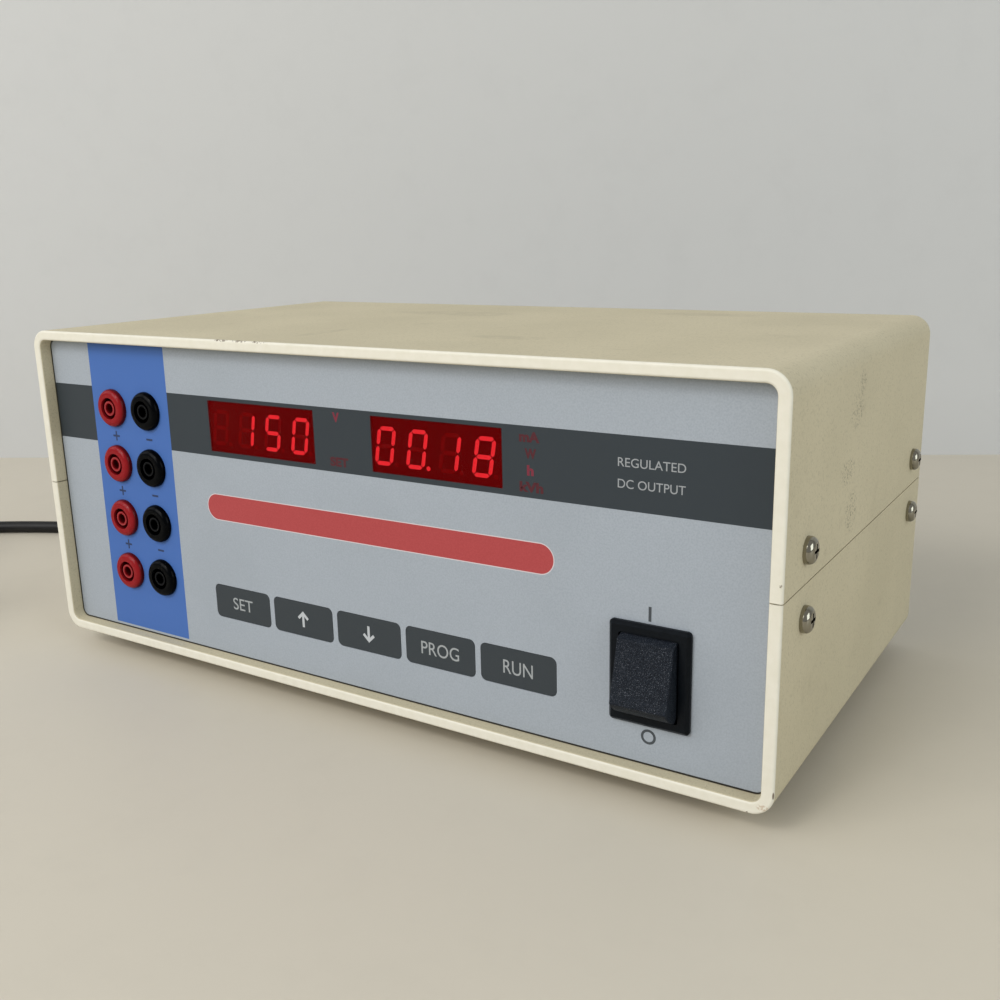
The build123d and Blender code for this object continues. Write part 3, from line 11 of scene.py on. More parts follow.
import bpy
import numpy as np
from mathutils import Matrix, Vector

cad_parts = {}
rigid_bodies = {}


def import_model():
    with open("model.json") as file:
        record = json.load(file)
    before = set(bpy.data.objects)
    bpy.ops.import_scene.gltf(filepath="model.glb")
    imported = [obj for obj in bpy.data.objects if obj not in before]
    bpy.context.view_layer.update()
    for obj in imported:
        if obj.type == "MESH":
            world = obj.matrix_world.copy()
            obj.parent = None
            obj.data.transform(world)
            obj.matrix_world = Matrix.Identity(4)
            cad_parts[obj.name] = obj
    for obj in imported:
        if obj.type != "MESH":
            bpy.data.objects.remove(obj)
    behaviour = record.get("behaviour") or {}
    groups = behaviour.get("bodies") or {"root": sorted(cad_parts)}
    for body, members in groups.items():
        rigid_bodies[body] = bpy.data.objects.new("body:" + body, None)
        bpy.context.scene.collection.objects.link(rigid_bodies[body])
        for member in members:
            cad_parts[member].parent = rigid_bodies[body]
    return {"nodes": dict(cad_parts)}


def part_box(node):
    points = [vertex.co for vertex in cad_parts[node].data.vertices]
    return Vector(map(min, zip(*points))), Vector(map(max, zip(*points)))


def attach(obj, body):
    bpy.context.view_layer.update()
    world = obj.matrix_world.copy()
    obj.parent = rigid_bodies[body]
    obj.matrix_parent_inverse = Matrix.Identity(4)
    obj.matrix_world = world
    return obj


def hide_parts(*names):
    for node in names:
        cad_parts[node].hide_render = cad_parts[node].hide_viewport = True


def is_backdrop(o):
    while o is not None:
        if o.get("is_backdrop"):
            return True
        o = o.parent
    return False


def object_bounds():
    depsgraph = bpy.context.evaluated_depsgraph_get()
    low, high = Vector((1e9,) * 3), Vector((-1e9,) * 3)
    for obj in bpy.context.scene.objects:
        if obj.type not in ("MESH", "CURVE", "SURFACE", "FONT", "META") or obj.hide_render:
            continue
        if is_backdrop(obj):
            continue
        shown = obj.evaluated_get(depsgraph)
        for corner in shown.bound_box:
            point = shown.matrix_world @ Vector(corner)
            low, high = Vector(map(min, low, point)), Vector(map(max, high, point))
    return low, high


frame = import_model()
cad_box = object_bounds()
nodes = frame["nodes"]
mm = 0.001

# %% [markdown]
# Prints and finishes need to know where the panel and the case are. Typed numbers would do until
# the drawing changes, and would then be wrong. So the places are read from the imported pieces'
# own boxes, and a mark always sits on what carries it.


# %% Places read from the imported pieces
case_low, case_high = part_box("bottom_shell")[0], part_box("top_shell")[1]
front_y, rear_y = case_low.y, case_high.y
side_x, roof_z, floor_z = case_high.x, case_high.z, case_low.z
face_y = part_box("front_overlay")[0].y
key_names = ("key_set", "key_up", "key_down", "key_prog", "key_run")
switch_centre = (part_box("switch_housing")[0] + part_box("switch_housing")[1]) / 2
red_x = sum(corner.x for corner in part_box("red_sockets")) / 2
black_x = sum(corner.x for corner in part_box("black_sockets")) / 2
socket_radius = (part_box("red_sockets")[1].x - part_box("red_sockets")[0].x) / 2
socket_rows = 4
socket_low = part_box("red_sockets")[0].z + socket_radius
socket_pitch = (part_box("red_sockets")[1].z - socket_radius - socket_low) / (socket_rows - 1)
print("panel face at y", round(face_y, 4), "socket pitch", round(socket_pitch, 4))

# %% [markdown]
# The camera stands where the photograph was taken: in front of the case, to its right, a little
# above its top. It could be moved by eye until the two pictures agree, but the case's straight
# edges tell more: their directions fix the lens, the turn and the place together.


# %% Camera
camera_place = (0.23228, -0.3422, 0.1673)
camera_turn = (75.581, 1.258, 32.373)
lens_length = 38.366
camera = bpy.data.objects.new("camera", bpy.data.cameras.new("camera"))
bpy.context.scene.collection.objects.link(camera)
bpy.context.scene.camera = camera
camera.location = camera_place
camera.rotation_euler = [math.radians(angle) for angle in camera_turn]
camera.data.lens = lens_length
camera.data.sensor_width = 36.0
camera.data.clip_start = 0.01
print("camera at", camera_place, "with a lens of", lens_length, "mm")

# %% [markdown]
# A finish is a Principled shader with nodes that vary it. Adding nodes one by one hides the
# thought behind them, so a small class stands for a number inside a material: adding two of
# them adds a Math node. A finish's own methods then read like a description of the surface.


# %% Shader numbers
class Value:
    """A number that a material works out at each point, held as a node's output."""

    def __init__(self, finish, socket):
        self.finish = finish
        self.socket = socket

    def joined(self, operation, other, reflected=False):
        """A Math node that takes this number and another, in either order."""
        pair = (other, self) if reflected else (self, other)
        return self.finish.node("ShaderNodeMath", {"operation": operation}, dict(enumerate(pair)))

    def __add__(self, other):
        return self.joined("ADD", other)

    def __radd__(self, other):
        return self.joined("ADD", other, True)

    def __sub__(self, other):
        return self.joined("SUBTRACT", other)

    def __rsub__(self, other):
        return self.joined("SUBTRACT", other, True)

    def __mul__(self, other):
        return self.joined("MULTIPLY", other)

    def __rmul__(self, other):
        return self.joined("MULTIPLY", other, True)

    def __truediv__(self, other):
        return self.joined("DIVIDE", other)

    def __pow__(self, other):
        return self.joined("POWER", other)

    def __abs__(self):
        return self.joined("ABSOLUTE", 0.0)

    def least(self, other):
        """The smaller of this number and another."""
        return self.joined("MINIMUM", other)

    def most(self, other):
        """The larger of this number and another."""
        return self.joined("MAXIMUM", other)

    def above(self, edge, blur):
        """0 where this number is below the edge and 1 above it, smooth over the blur each side."""
        ends = {"From Min": edge - blur, "From Max": edge + blur}
        return self.finish.node(
            "ShaderNodeMapRange", {"interpolation_type": "SMOOTHSTEP"}, {"Value": self, **ends}
        )

    def within(self, low, high, blur):
        """1 between two edges and 0 outside them."""
        return self.above(low, blur) * (1 - self.above(high, blur))


print("signs that add a Math node: + - * / ** and abs")


# %% [markdown]
# The finish class builds the material. Patterns could follow an unwrapped skin, but hard pieces
# have none. They read Object coordinates instead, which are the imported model's own metres, so a
# noise scale of 1000 gives grains about a millimetre apart.


# %% Finishes
class Finish:
    """A material with one Principled shader, and methods that add patterns to it."""

    def __init__(self, name, colour, roughness, metallic=0.0, sheen=0.5):
        self.material = bpy.data.materials.new(name)
        self.material.use_nodes = True
        self.tree = self.material.node_tree
        self.tree.nodes.clear()
        self.surface = self.tree.nodes.new("ShaderNodeBsdfPrincipled")
        self.out = self.tree.nodes.new("ShaderNodeOutputMaterial")
        self.tree.links.new(self.surface.outputs[0], self.out.inputs["Surface"])
        self.put("Base Color", (*colour, 1.0))
        self.put("Roughness", roughness)
        self.put("Metallic", metallic)
        self.put("Specular IOR Level", sheen)
        self.place = self.node("ShaderNodeTexCoord", output="Object")
        parts = self.node("ShaderNodeSeparateXYZ", inputs={0: self.place})
        self.x, self.y, self.z = [Value(self, parts.socket.node.outputs[i]) for i in range(3)]

    def node(self, kind, settings=None, inputs=None, output=0):
        """Adds a node: its settings first, then the numbers, colours or links of its sockets."""
        new = self.tree.nodes.new(kind)
        for name, setting in (settings or {}).items():
            setattr(new, name, setting)
        for key, given in (inputs or {}).items():
            self.feed(new.inputs[key], given)
        return Value(self, new.outputs[output])

    def feed(self, socket, given):
        """Links a worked-out number to a socket, or sets the socket."""
        if isinstance(given, Value):
            self.tree.links.new(given.socket, socket)
        else:
            socket.default_value = given

    def put(self, name, given):
        """Gives the shader's own socket a number, a colour or a link."""
        self.feed(self.surface.inputs[name], given)

    def noise(self, per_metre, detail=2.0, rough=0.5, stretch=None):
        """Cloudy noise from 0 to 1, with so many clouds to the metre, drawn out along an axis if told."""
        place = self.place
        if stretch:
            place = self.node("ShaderNodeMapping", inputs={"Vector": place, "Scale": stretch})
        sizes = {"Vector": place, "Scale": per_metre, "Detail": detail, "Roughness": rough}
        return self.node("ShaderNodeTexNoise", inputs=sizes)

    def mix(self, factor, first, second):
        """A colour between two, given as links or as three numbers."""
        first, second = [c if isinstance(c, Value) else (*c, 1.0) for c in (first, second)]
        return self.node("ShaderNodeMix", {"data_type": "RGBA"}, {0: factor, 6: first, 7: second}, 2)

    def bump(self, height, depth, strength=1.0):
        """Small relief: a height from 0 to 1, as deep as told in metres."""
        self.put("Normal", self.node(
            "ShaderNodeBump", inputs={"Height": height, "Distance": depth, "Strength": strength}
        ))


print("a finish can carry noise, mixed colours and a bump")

# %% [markdown]
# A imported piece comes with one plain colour. That material could be changed in its place, but
# many pieces are of the same stuff, so a finish is made once and then given to each of them.


# %% Coats
def coat(finish, *names):
    """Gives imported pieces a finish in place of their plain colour."""
    for name in names:
        slots = nodes[name].data.materials
        slots.clear()
        slots.append(finish.material)
    print("finish", finish.material.name, "on", *names)


print("packed pieces to coat:", len(nodes))

# %% [markdown]
# Marks and prints are shapes in a colour mask. Two shapes do for most of them: a rectangle with
# round corners, which also gives the bar with round ends, and an oval blot. Each is a distance
# worked out from two coordinates, so that a mask is simply where that distance is small.


# %% Mask shapes
def rounded_distance(across, up, half_size, radius):
    """How far a point lies outside a rectangle with round corners: below 0 inside it.

    Each corner's circle stands on a corner of the rectangle that is smaller by the radius all
    round, so this is the distance from that smaller rectangle, less the radius.
    """
    out = (abs(across) - (half_size[0] - radius)).most(0.0)
    over = (abs(up) - (half_size[1] - radius)).most(0.0)
    return (out * out + over * over) ** 0.5 - radius


def blot(across, up, centre, reach):
    """1 inside an oval and 0 outside it: each offset is divided by the oval's reach that way."""
    out = (across - centre[0]) / reach[0]
    over = (up - centre[1]) / reach[1]
    return 1 - (out * out + over * over).above(1.0, 0.5)


def blots(across, up, places):
    """Several blots at once, their centres and reaches given in millimetres."""
    together = 0.0
    for centre, reach in places:
        one = blot(across, up, [c * mm for c in centre], [r * mm for r in reach])
        together = one.most(together)
    return together


print("mask shapes:", [shape.__name__ for shape in (rounded_distance, blot, blots)])

# %% [markdown]
# Both shells are one painted moulding. Outside they have a fine pebbled texture and have aged
# to a greenish beige. The rim was trimmed smooth and is still ivory: on the outside the ivory
# wraps round the edge, and on the inside it stops at once. Handling has knocked a few brown
# chips out of the rim's outer edge and has left specks and smudges on the right side and top.
# All this could be painted on an unwrapped skin. Worked out from places on the case, it needs
# no skin and no picture, and each mark can be moved by changing one pair of numbers.

# %% Case colours and sizes
case_beige = (0.575, 0.515, 0.360)
case_shade = (0.525, 0.470, 0.325)
# Painted shade for the hollows between the pebbles.
case_pit_shade = (0.42, 0.375, 0.255)
# Painted highlight for the glints on the pebbles.
case_painted_glint = (0.72, 0.66, 0.50)
case_soil = (0.36, 0.31, 0.20)
speck_dark = (0.10, 0.09, 0.06)
smudge_brown = (0.20, 0.17, 0.11)
rim_ivory = (0.755, 0.73, 0.635)
rim_shade = (0.715, 0.69, 0.585)
chip_brown = (0.10, 0.065, 0.035)
bruise_brown = (0.42, 0.27, 0.15)
# Painted shade for the gap between the panel and the inside of the wall.
gap_shade = (0.016, 0.014, 0.011)
corner_radius = 7.0 * mm
wall_thickness = 3.8 * mm
rim_width = 0.3 * mm
rim_wrap = 0.5 * mm
print("case from", [round(c, 4) for c in case_low], "to", [round(c, 4) for c in case_high])

# %% Places of the case's marks
rim_chips = (
    ((-47.0, 131.4), (3.0, 0.5)),
    ((-38.5, 131.4), (3.5, 0.45)),
    ((-29.0, 131.4), (3.0, 0.45)),
    ((145.2, 7.9), (0.4, 0.25)),
    ((151.7, 75.3), (0.4, 0.6)),
)
rim_scar = ((152.25, 14.7), (0.2, 1.05))
rim_bruise = ((149.4, 10.4), (1.6, 0.9))
side_specks = (
    ((-12.9, 118.8), (3.8, 4.0)),
    ((-18.5, 111.0), (7.0, 5.0)),
    ((-25.0, 93.7), (8.0, 4.0)),
    ((-18.5, 80.0), (6.5, 6.5)),
    ((-14.9, 82.1), (0.7, 1.3)),
    ((-51.5, 91.8), (0.8, 0.8)),
)
roof_smudges = (
    ((-30.0, -49.0), (3.0, 15.0)),
    ((43.0, -41.0), (14.0, 5.0)),
    ((-31.0, 37.0), (30.0, 9.0)),
    ((70.0, 62.0), (22.0, 6.0)),
)
print("chips", len(rim_chips), "specks", len(side_specks), "smudges", len(roof_smudges))

# %% [markdown]
# The outside is built up as a painter would do it: the ground first, then painted shade in the
# pits and painted highlights as glints, then the marks of use, each mixed over what is there
# already. One ramp of many colours could hold it all, but then no mark could be taken away or
# moved by itself.


# %% Outside of the case
def outside_colour(finish, pebble, fine):
    """Pebbled beige with painted pit shade and glints, soil, specks on the right side, smudges on top."""
    cloud = finish.noise(16, 3.0)
    colour = finish.mix(cloud.above(0.5, 0.2), case_beige, case_shade)
    # Painted shade: the pebbles' hollows, where the bump is low, are darker.
    colour = finish.mix(pebble.above(0.38, 0.1) * 0.7 + 0.3, case_pit_shade, colour)
    # Painted highlights: a few grains are lighter, as glints.
    glints = finish.noise(1900, 1.0).above(0.68, 0.04) * 0.3
    colour = finish.mix(glints, colour, case_painted_glint)
    right_side = finish.x.above(side_x - 0.5 * mm, 0.2 * mm)
    specks = blots(finish.y, finish.z, side_specks) * right_side * fine.above(0.575, 0.03)
    colour = finish.mix(specks * 0.6, colour, speck_dark)
    roof = finish.z.above(roof_z - 0.5 * mm, 0.2 * mm)
    smudge = finish.noise(150, 4.0, 0.7).above(0.45, 0.12)
    smudge = blots(finish.x, finish.y, roof_smudges) * roof * smudge * 0.16
    colour = finish.mix(smudge, colour, smudge_brown)
    soil = finish.noise(45, 4.0, 0.7).above(0.66, 0.06) * 0.2
    return finish.mix(soil, colour, case_soil)


print("right side at x", round(side_x, 4), "top at z", round(roof_z, 4))

# %% [markdown]
# The case's wall has an outer and an inner half. They could be told apart by which way a face
# looks, but the bevels would then be neither. So the distance from the case's rounded outline
# decides, and that one mask steers three things: how far the ivory wraps, where chips can be,
# and the painted shade in the gap where the panel meets the inside of the wall.


# %% Rim of the case
def rim_masks(finish):
    """Where the ivory rim is, and where the outer half of the wall is.

    The rim is what lies near either end of the case, and near is further on the outer half.
    """
    from_ends = (finish.y - front_y).least(rear_y - finish.y)
    middle_z = (roof_z + floor_z) / 2
    half_size = (side_x, roof_z - middle_z)
    outer_half = rounded_distance(finish.x, finish.z - middle_z, half_size, corner_radius)
    outer_half = outer_half.above(-wall_thickness / 2, 0.3 * mm)
    rim = 1 - (from_ends - outer_half * rim_wrap).above(rim_width, 0.08 * mm)
    return rim, outer_half


def wear_and_gap_shade(finish, colour, fine, outer_half):
    """The case's colour with its bruise, chips and scar, and painted shade in the gap at the panel."""
    at_front = 1 - finish.y.above(front_y + 1.1 * mm, 0.2 * mm)
    bruise = blots(finish.x, finish.z, [rim_bruise]) * at_front * fine.above(0.46, 0.05) * 0.55
    colour = finish.mix(bruise, colour, bruise_brown)
    chips = blots(finish.x, finish.z, rim_chips) * at_front * outer_half * fine.above(0.52, 0.03)
    chips = (chips * 0.85).most(blots(finish.x, finish.z, [rim_scar]) * at_front * 0.9)
    colour = finish.mix(chips, colour, chip_brown)
    # Painted shade: the inner half of the wall is dark just behind the panel's face.
    gap = finish.y.within(face_y - 0.2 * mm, face_y + 2 * mm, 0.08 * mm) * (1 - outer_half)
    return finish.mix(gap * 0.9, colour, gap_shade)


print("ivory is", round(rim_width / mm, 2), "mm wide, and outside", round(rim_wrap / mm, 2), "mm wider")


# %% Case finish
def case_finish():
    """Pebbled beige outside, with a chipped and bruised ivory rim and painted shade at the panel."""
    finish = Finish("case_texture", case_beige, 0.56, sheen=0.4)
    pebble = finish.noise(1250, 2.0, 0.6)
    fine = finish.noise(1100, 2.0, 0.7)
    rim, outer_half = rim_masks(finish)
    ivory = finish.mix(finish.noise(300, 3.0).above(0.5, 0.3), rim_ivory, rim_shade)
    colour = finish.mix(rim, outside_colour(finish, pebble, fine), ivory)
    finish.put("Base Color", wear_and_gap_shade(finish, colour, fine, outer_half))
    finish.put("Roughness", 0.60 - rim * 0.12)
    finish.bump(pebble * (1 - rim * 0.85), 0.14 * mm, 0.6)
    return finish


coat(case_finish(), "top_shell", "bottom_shell")

# %% [markdown]
# The front foil is printed: blue grey, a dark band, a blue stripe over the band and a red bar
# with round ends and a thin pale outline. Print has no thickness, so it belongs in the colour:
# each shape is a mask worked out from X and Z, with an edge a twentieth of a millimetre soft.
# Separate thin sheets would do too, but they would need gaps to keep them from showing through
# each other. The stripe and the bar were printed a hair out of square, and the stripe ends just
# short of the foil's lower edge.

# %% Foil colours and places
foil_grey = (0.320, 0.358, 0.405)
foil_pale = (0.362, 0.402, 0.452)
foil_smear = (0.28, 0.315, 0.35)
band_grey = (0.033, 0.042, 0.050)
stripe_blue = (0.058, 0.142, 0.415)
bar_red = (0.375, 0.055, 0.058)
bar_pale = (0.41, 0.066, 0.069)
outline_pale = (0.62, 0.56, 0.58)
stripe_x = (-0.1262, -0.0834)
stripe_lean = 0.0105
stripe_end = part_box("front_overlay")[0].z + 0.9 * mm
band_z = (0.0885, 0.1103)
bar_middle = (0.0076, 0.0696)
bar_half_size = (0.0739, 0.00505)
bar_lean = 0.0052
outline_width = 0.3 * mm
print_blur = 0.05 * mm
print("band from z", band_z[0], "to", band_z[1], "stripe from x", stripe_x[0], "to", stripe_x[1])


# %% Foil finish
def foil_finish():
    """The printed foil, finely grained."""
    finish = Finish("printed_foil", foil_grey, 0.42, sheen=0.2)
    grain = finish.noise(1900, 1.0)
    smear = finish.noise(22, 3.0, 0.6)
    ground = finish.mix(grain.above(0.5, 0.25), foil_grey, foil_pale)
    ground = finish.mix(smear.above(0.60, 0.12) * 0.2, ground, foil_smear)
    colour = finish.mix(finish.z.within(*band_z, print_blur), ground, band_grey)
    upright = finish.x - (finish.z - bar_middle[1]) * stripe_lean
    stripe = upright.within(*stripe_x, print_blur) * finish.z.above(stripe_end, print_blur)
    colour = finish.mix(stripe, colour, stripe_blue)
    along = finish.x - bar_middle[0]
    level = finish.z - bar_middle[1] - along * bar_lean
    away = rounded_distance(along, level, bar_half_size, bar_half_size[1])
    colour = finish.mix(1 - away.above(0.0, print_blur), colour, outline_pale)
    inner = finish.mix(grain.above(0.5, 0.25), bar_red, bar_pale)
    colour = finish.mix(1 - away.above(-outline_width, print_blur), colour, inner)
    finish.put("Base Color", colour)
    finish.put("Roughness", 0.36 + smear * 0.16)
    finish.bump(grain, 0.03 * mm, 0.45)
    return finish


coat(foil_finish(), "front_overlay")

# %% [markdown]
# The keys are caps of dark slate plastic, level with the foil, with the same fine grain. Grain
# this small could be cut into the mesh with a displacement, but a bump in the shader looks the
# same from any distance that shows the whole key, and leaves the caps light.


# %% Key finish
key_slate = (0.038, 0.046, 0.053)


def key_finish():
    """Dark slate, finely grained, smoother in patches where fingers have polished it."""
    finish = Finish("key_slate", key_slate, 0.45, sheen=0.2)
    grain = finish.noise(2600, 1.0)
    polish = finish.noise(60, 2.0)
    finish.put("Base Color", finish.mix(grain, (0.033, 0.041, 0.047), (0.043, 0.052, 0.060)))
    finish.put("Roughness", 0.36 + polish * 0.2)
    finish.bump(grain, 0.03 * mm, 0.35)
    return finish


coat(key_finish(), *key_names)

# %% [markdown]
# Each display is a dark block with raised segments behind a clear red filter. The filter could
# be glass that bends and colours the light, which is slow and grainy in a flat sheet. A surface
# that is only partly there lets enough through: unlit segments show faintly and lit ones glow.


# %% Display finishes
filter_cover = 0.4
segment_strength = 2.0


def filter_finish():
    """Clear deep red, with a soft sheen."""
    finish = Finish("red_filter", (0.19, 0.001, 0.002), 0.16, sheen=0.05)
    haze = finish.noise(70, 2.0)
    finish.put("Base Color", finish.mix(haze, (0.135, 0.0002, 0.0005), (0.175, 0.0003, 0.0008)))
    finish.put("Roughness", 0.12 + haze * 0.08)
    finish.put("Alpha", filter_cover)
    return finish


def block_finish(name, colour, roughness=0.6, sheen=0.4):
    """A moulded block, slightly mottled."""
    finish = Finish(name, colour, roughness, sheen=sheen)
    mottle = finish.noise(600, 2.0)
    finish.put("Base Color", finish.mix(mottle, [0.8 * c for c in colour], [1.2 * c for c in colour]))
    finish.bump(mottle, 0.03 * mm, 0.3)
    return finish


def glow_finish(name, colour, strength):
    """Something lit: it shines in one colour, not quite evenly, and is dark when it is off."""
    finish = Finish(name, [0.1 * c for c in colour], 0.5, sheen=0.1)
    spread = finish.noise(420, 1.0)
    finish.put("Emission Color", finish.mix(spread, colour, [0.8 * c for c in colour]))
    finish.put("Emission Strength", strength)
    return finish


display_block = block_finish("display_block", (0.085, 0.0008, 0.0015), sheen=0.03)
coat(filter_finish(), "display_windows")
coat(display_block, "display_modules", "legend_lamps")
coat(block_finish("unlit_segment", (0.30, 0.004, 0.006), sheen=0.03), "dark_segments")
coat(glow_finish("lit_segment", (1.0, 0.030, 0.040), segment_strength), "lit_segments")

# %% [markdown]
# The sockets are glossy mouldings. A paler ring shows where the edge of the inner tube catches
# the light. Eight rings could be drawn one by one, but the sockets are evenly spaced, so one
# rule finds them all: the distance from the column in X and, in Z, the distance from the
# nearest whole number of pitches.


# %% Socket finishes
# Radii of the painted highlight on the edge of the inner tube.
tube_highlight_radii = (2.38 * mm, 2.68 * mm)


def socket_finish(name, colour, ring, column_x, sheen):
    """Glossy plastic with a painted highlight round the inner tube and painted shade in the groove."""
    finish = Finish(name, colour, 0.2, sheen=sheen)
    across = finish.x - column_x
    rise = (finish.z - socket_low) / socket_pitch
    nearest = finish.node("ShaderNodeMath", {"operation": "ROUND"}, {0: rise})
    up = (rise - nearest) * socket_pitch
    away = (across * across + up * up) ** 0.5
    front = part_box("red_sockets")[0].y
    # Painted highlight: a paler ring where the inner tube's edge catches the light.
    edge = away.within(*tube_highlight_radii, 0.08 * mm) * (1 - finish.y.above(front + 0.8 * mm, 0.1 * mm))
    # Painted shade: the colour darkens deeper inside the socket, in the groove.
    deep = finish.y.above(front + 1.0 * mm, 0.5 * mm)
    wear = finish.noise(260, 3.0, 0.7)
    tone = finish.mix(wear, colour, [0.8 * c for c in colour])
    tone = finish.mix(deep * 0.8, tone, [0.15 * c for c in colour])
    finish.put("Base Color", finish.mix(edge * 0.8, tone, ring))
    finish.put("Roughness", 0.14 + wear * 0.12)
    finish.bump(finish.noise(900, 2.0), 0.01 * mm, 0.3)
    return finish


# Each socket's third colour is the painted highlight on its inner tube's edge.
socket_red = socket_finish("socket_red", (0.28, 0.009, 0.013), (0.34, 0.055, 0.06), red_x, 0.12)
socket_black = socket_finish("socket_black", (0.0006, 0.001, 0.0016), (0.012, 0.013, 0.015), black_x, 0.05)
coat(socket_red, "red_sockets")
coat(socket_black, "black_sockets")

# %% [markdown]
# The mains switch is black plastic. Its bezel is satin and its rocker has a spark-eroded
# texture that glitters: tiny grains, some of which face the light. A very fine bump alone would
# do it close by, but from further off the grains blur into grey. So two fine noises share the
# work: one gives the relief and the tone, and a sparser one paints highlights as glints on the
# grains that shine.


# %% Switch finishes
def black_plastic(name, per_metre=900, roughness=0.34, depth=0.02 * mm):
    """Satin black with a fine grain."""
    finish = Finish(name, (0.003, 0.004, 0.006), roughness, sheen=0.1)
    grain = finish.noise(per_metre, 2.0)
    finish.put("Base Color", finish.mix(grain, (0.001, 0.0018, 0.003), (0.005, 0.0075, 0.011)))
    finish.put("Roughness", roughness - 0.06 + grain * 0.12)
    finish.bump(grain, depth, 0.5)
    return finish


def rocker_finish():
    """Black with grains, a few of them with painted glints."""
    finish = Finish("rocker_texture", (0.008, 0.009, 0.013), 0.5, sheen=0.08)
    grain = finish.noise(4600, 2.0, 0.7)
    # Painted highlights: a few grains get a pale colour, as glints.
    painted_glint = finish.noise(5200, 1.0).above(0.69, 0.03)
    colour = finish.mix(grain.above(0.5, 0.22), (0.0004, 0.001, 0.002), (0.019, 0.025, 0.036))
    finish.put("Base Color", finish.mix(painted_glint, colour, (0.19, 0.205, 0.24)))
    finish.put("Roughness", 0.50 - painted_glint * 0.25)
    finish.bump(grain, 0.05 * mm, 0.7)
    return finish


coat(black_plastic("switch_black"), "switch_housing")
coat(rocker_finish(), "switch_rocker")

# %% [markdown]
# Screws, wires and contacts are plated steel or brass, and the core is a stack of steel sheets.
# Each could have a material of its own, but they differ only in a few numbers. So they share
# one recipe: a metallic shader, soft marks that can be drawn out along one axis, and a tarnish
# that clouds the colour.


# %% Metal finishes
def metal(name, colour, roughness, stretch=(1, 1, 1), depth=0.01 * mm):
    """Plated or bare metal with fine marks drawn out along one axis."""
    finish = Finish(name, colour, roughness, metallic=1.0)
    marks = finish.noise(900, 3.0, 0.6, stretch)
    tarnish = finish.noise(180, 3.0, 0.6)
    finish.put("Base Color", finish.mix(tarnish, [0.82 * c for c in colour], colour))
    finish.put("Roughness", roughness * 0.8 + marks * roughness * 0.5)
    finish.bump(marks, depth, 0.3)
    return finish


zinc_pieces = ["panel_nuts", "board_screws", "fan_screws", "foot_screws", "foot_nuts"]
zinc_pieces += ["transformer_bolts", "transformer_strap", "chassis_plate"]
coat(metal("screw_nickel", (0.34, 0.32, 0.26), 0.08), "side_screws")
coat(metal("zinc_plate", (0.62, 0.62, 0.60), 0.34), *zinc_pieces)
coat(metal("bright_wire", (0.66, 0.66, 0.65), 0.18), "fan_guard", "plug_pins")
coat(metal("tinned_brass", (0.72, 0.62, 0.42), 0.28), "socket_contacts", "switch_terminals", "earth_stud")
coat(metal("dark_anodised", (0.05, 0.05, 0.055), 0.38, (1, 1, 12)), "heat_sink")
coat(metal("laminations", (0.16, 0.155, 0.15), 0.45, (1, 40, 1)), "transformer_core")

# %% [markdown]
# The front panel's sheet shows only as a dark line, at its cut edges round the foil and in the
# openings, and its near-black colour is painted shade for those gaps. The rear panel is painted
# grey. The orange peel of paint could be a wavy mesh, but it is so shallow that a wide bump does
# the same. Boards, blocks and sleeves are out of sight in the photograph, so they get the plain
# mottled block or black plastic that was made above.


# %% Sheet and board finishes
def paint(name, colour, roughness, dirt=0.3):
    """Smooth paint with a faint orange peel and some grime."""
    finish = Finish(name, colour, roughness)
    peel = finish.noise(650, 2.0)
    grime = finish.noise(35, 4.0, 0.7)
    finish.put("Base Color", finish.mix(grime.above(0.6, 0.15) * dirt, colour, [0.6 * c for c in colour]))
    finish.put("Roughness", roughness - 0.05 + peel * 0.1)
    finish.bump(peel, 0.04 * mm, 0.3)
    return finish


# The sheet's near-black colour is painted shade: its edges show only in the gaps round the foil.
coat(paint("sheet_gap_shade", (0.035, 0.037, 0.040), 0.5), "front_panel")
coat(paint("panel_paint", (0.33, 0.35, 0.37), 0.45), "rear_panel")
coat(block_finish("circuit_board", (0.015, 0.11, 0.04), 0.4), "front_board", "power_board")
coat(block_finish("natural_plastic", (0.66, 0.64, 0.57), 0.5), "board_spacers", "socket_nuts")
moulded_pieces = ["fan_frame", "fan_rotor", "fuse_holder", "fuse_cap"]
moulded_pieces += ["key_switches", "control_chips", "transistors"]
coat(black_plastic("black_moulding", 700, 0.42), *moulded_pieces)
coat(block_finish("ribbon_grey", (0.40, 0.40, 0.42), 0.5), "ribbon_cable")
coat(block_finish("capacitor_sleeve", (0.02, 0.04, 0.13), 0.3), "bulk_capacitors")
coat(block_finish("winding_tape", (0.62, 0.40, 0.10), 0.45), "transformer_winding")
coat(block_finish("lead_sleeve", (0.06, 0.06, 0.07), 0.5), "mains_leads", "output_leads")

# %% [markdown]
# The fuse is a glass tube between two nickel caps. It could be cut into three pieces with a
# material each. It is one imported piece, so one finish tells them apart by Y instead: the middle
# is clear and smooth, and the last five millimetres at each end are metal.


# %% Fuse finish
fuse_end = 5 * mm


def fuse_finish():
    """Glass in the middle and metal at the ends."""
    finish = Finish("fuse_glass", (0.8, 0.82, 0.82), 0.08)
    low, high = [corner.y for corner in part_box("fuse")]
    middle = finish.y.within(low + fuse_end, high - fuse_end, 0.05 * mm)
    tarnish = finish.noise(500, 2.0)
    finish.put("Base Color", finish.mix(tarnish, (0.62, 0.62, 0.60), (0.78, 0.79, 0.79)))
    finish.put("Metallic", 1 - middle)
    finish.put("Alpha", 1 - middle * 0.6)
    finish.put("Roughness", 0.25 - middle * 0.18)
    return finish


coat(fuse_finish(), "fuse")

# %% [markdown]
# Rubber and soft plastic are matt, hold dust in their hollows, and are never quite black. Dust
# could be a second layer of shader. A paler, rougher patch in the one layer reads as dust too,
# and it survives when the finish is baked into a picture.


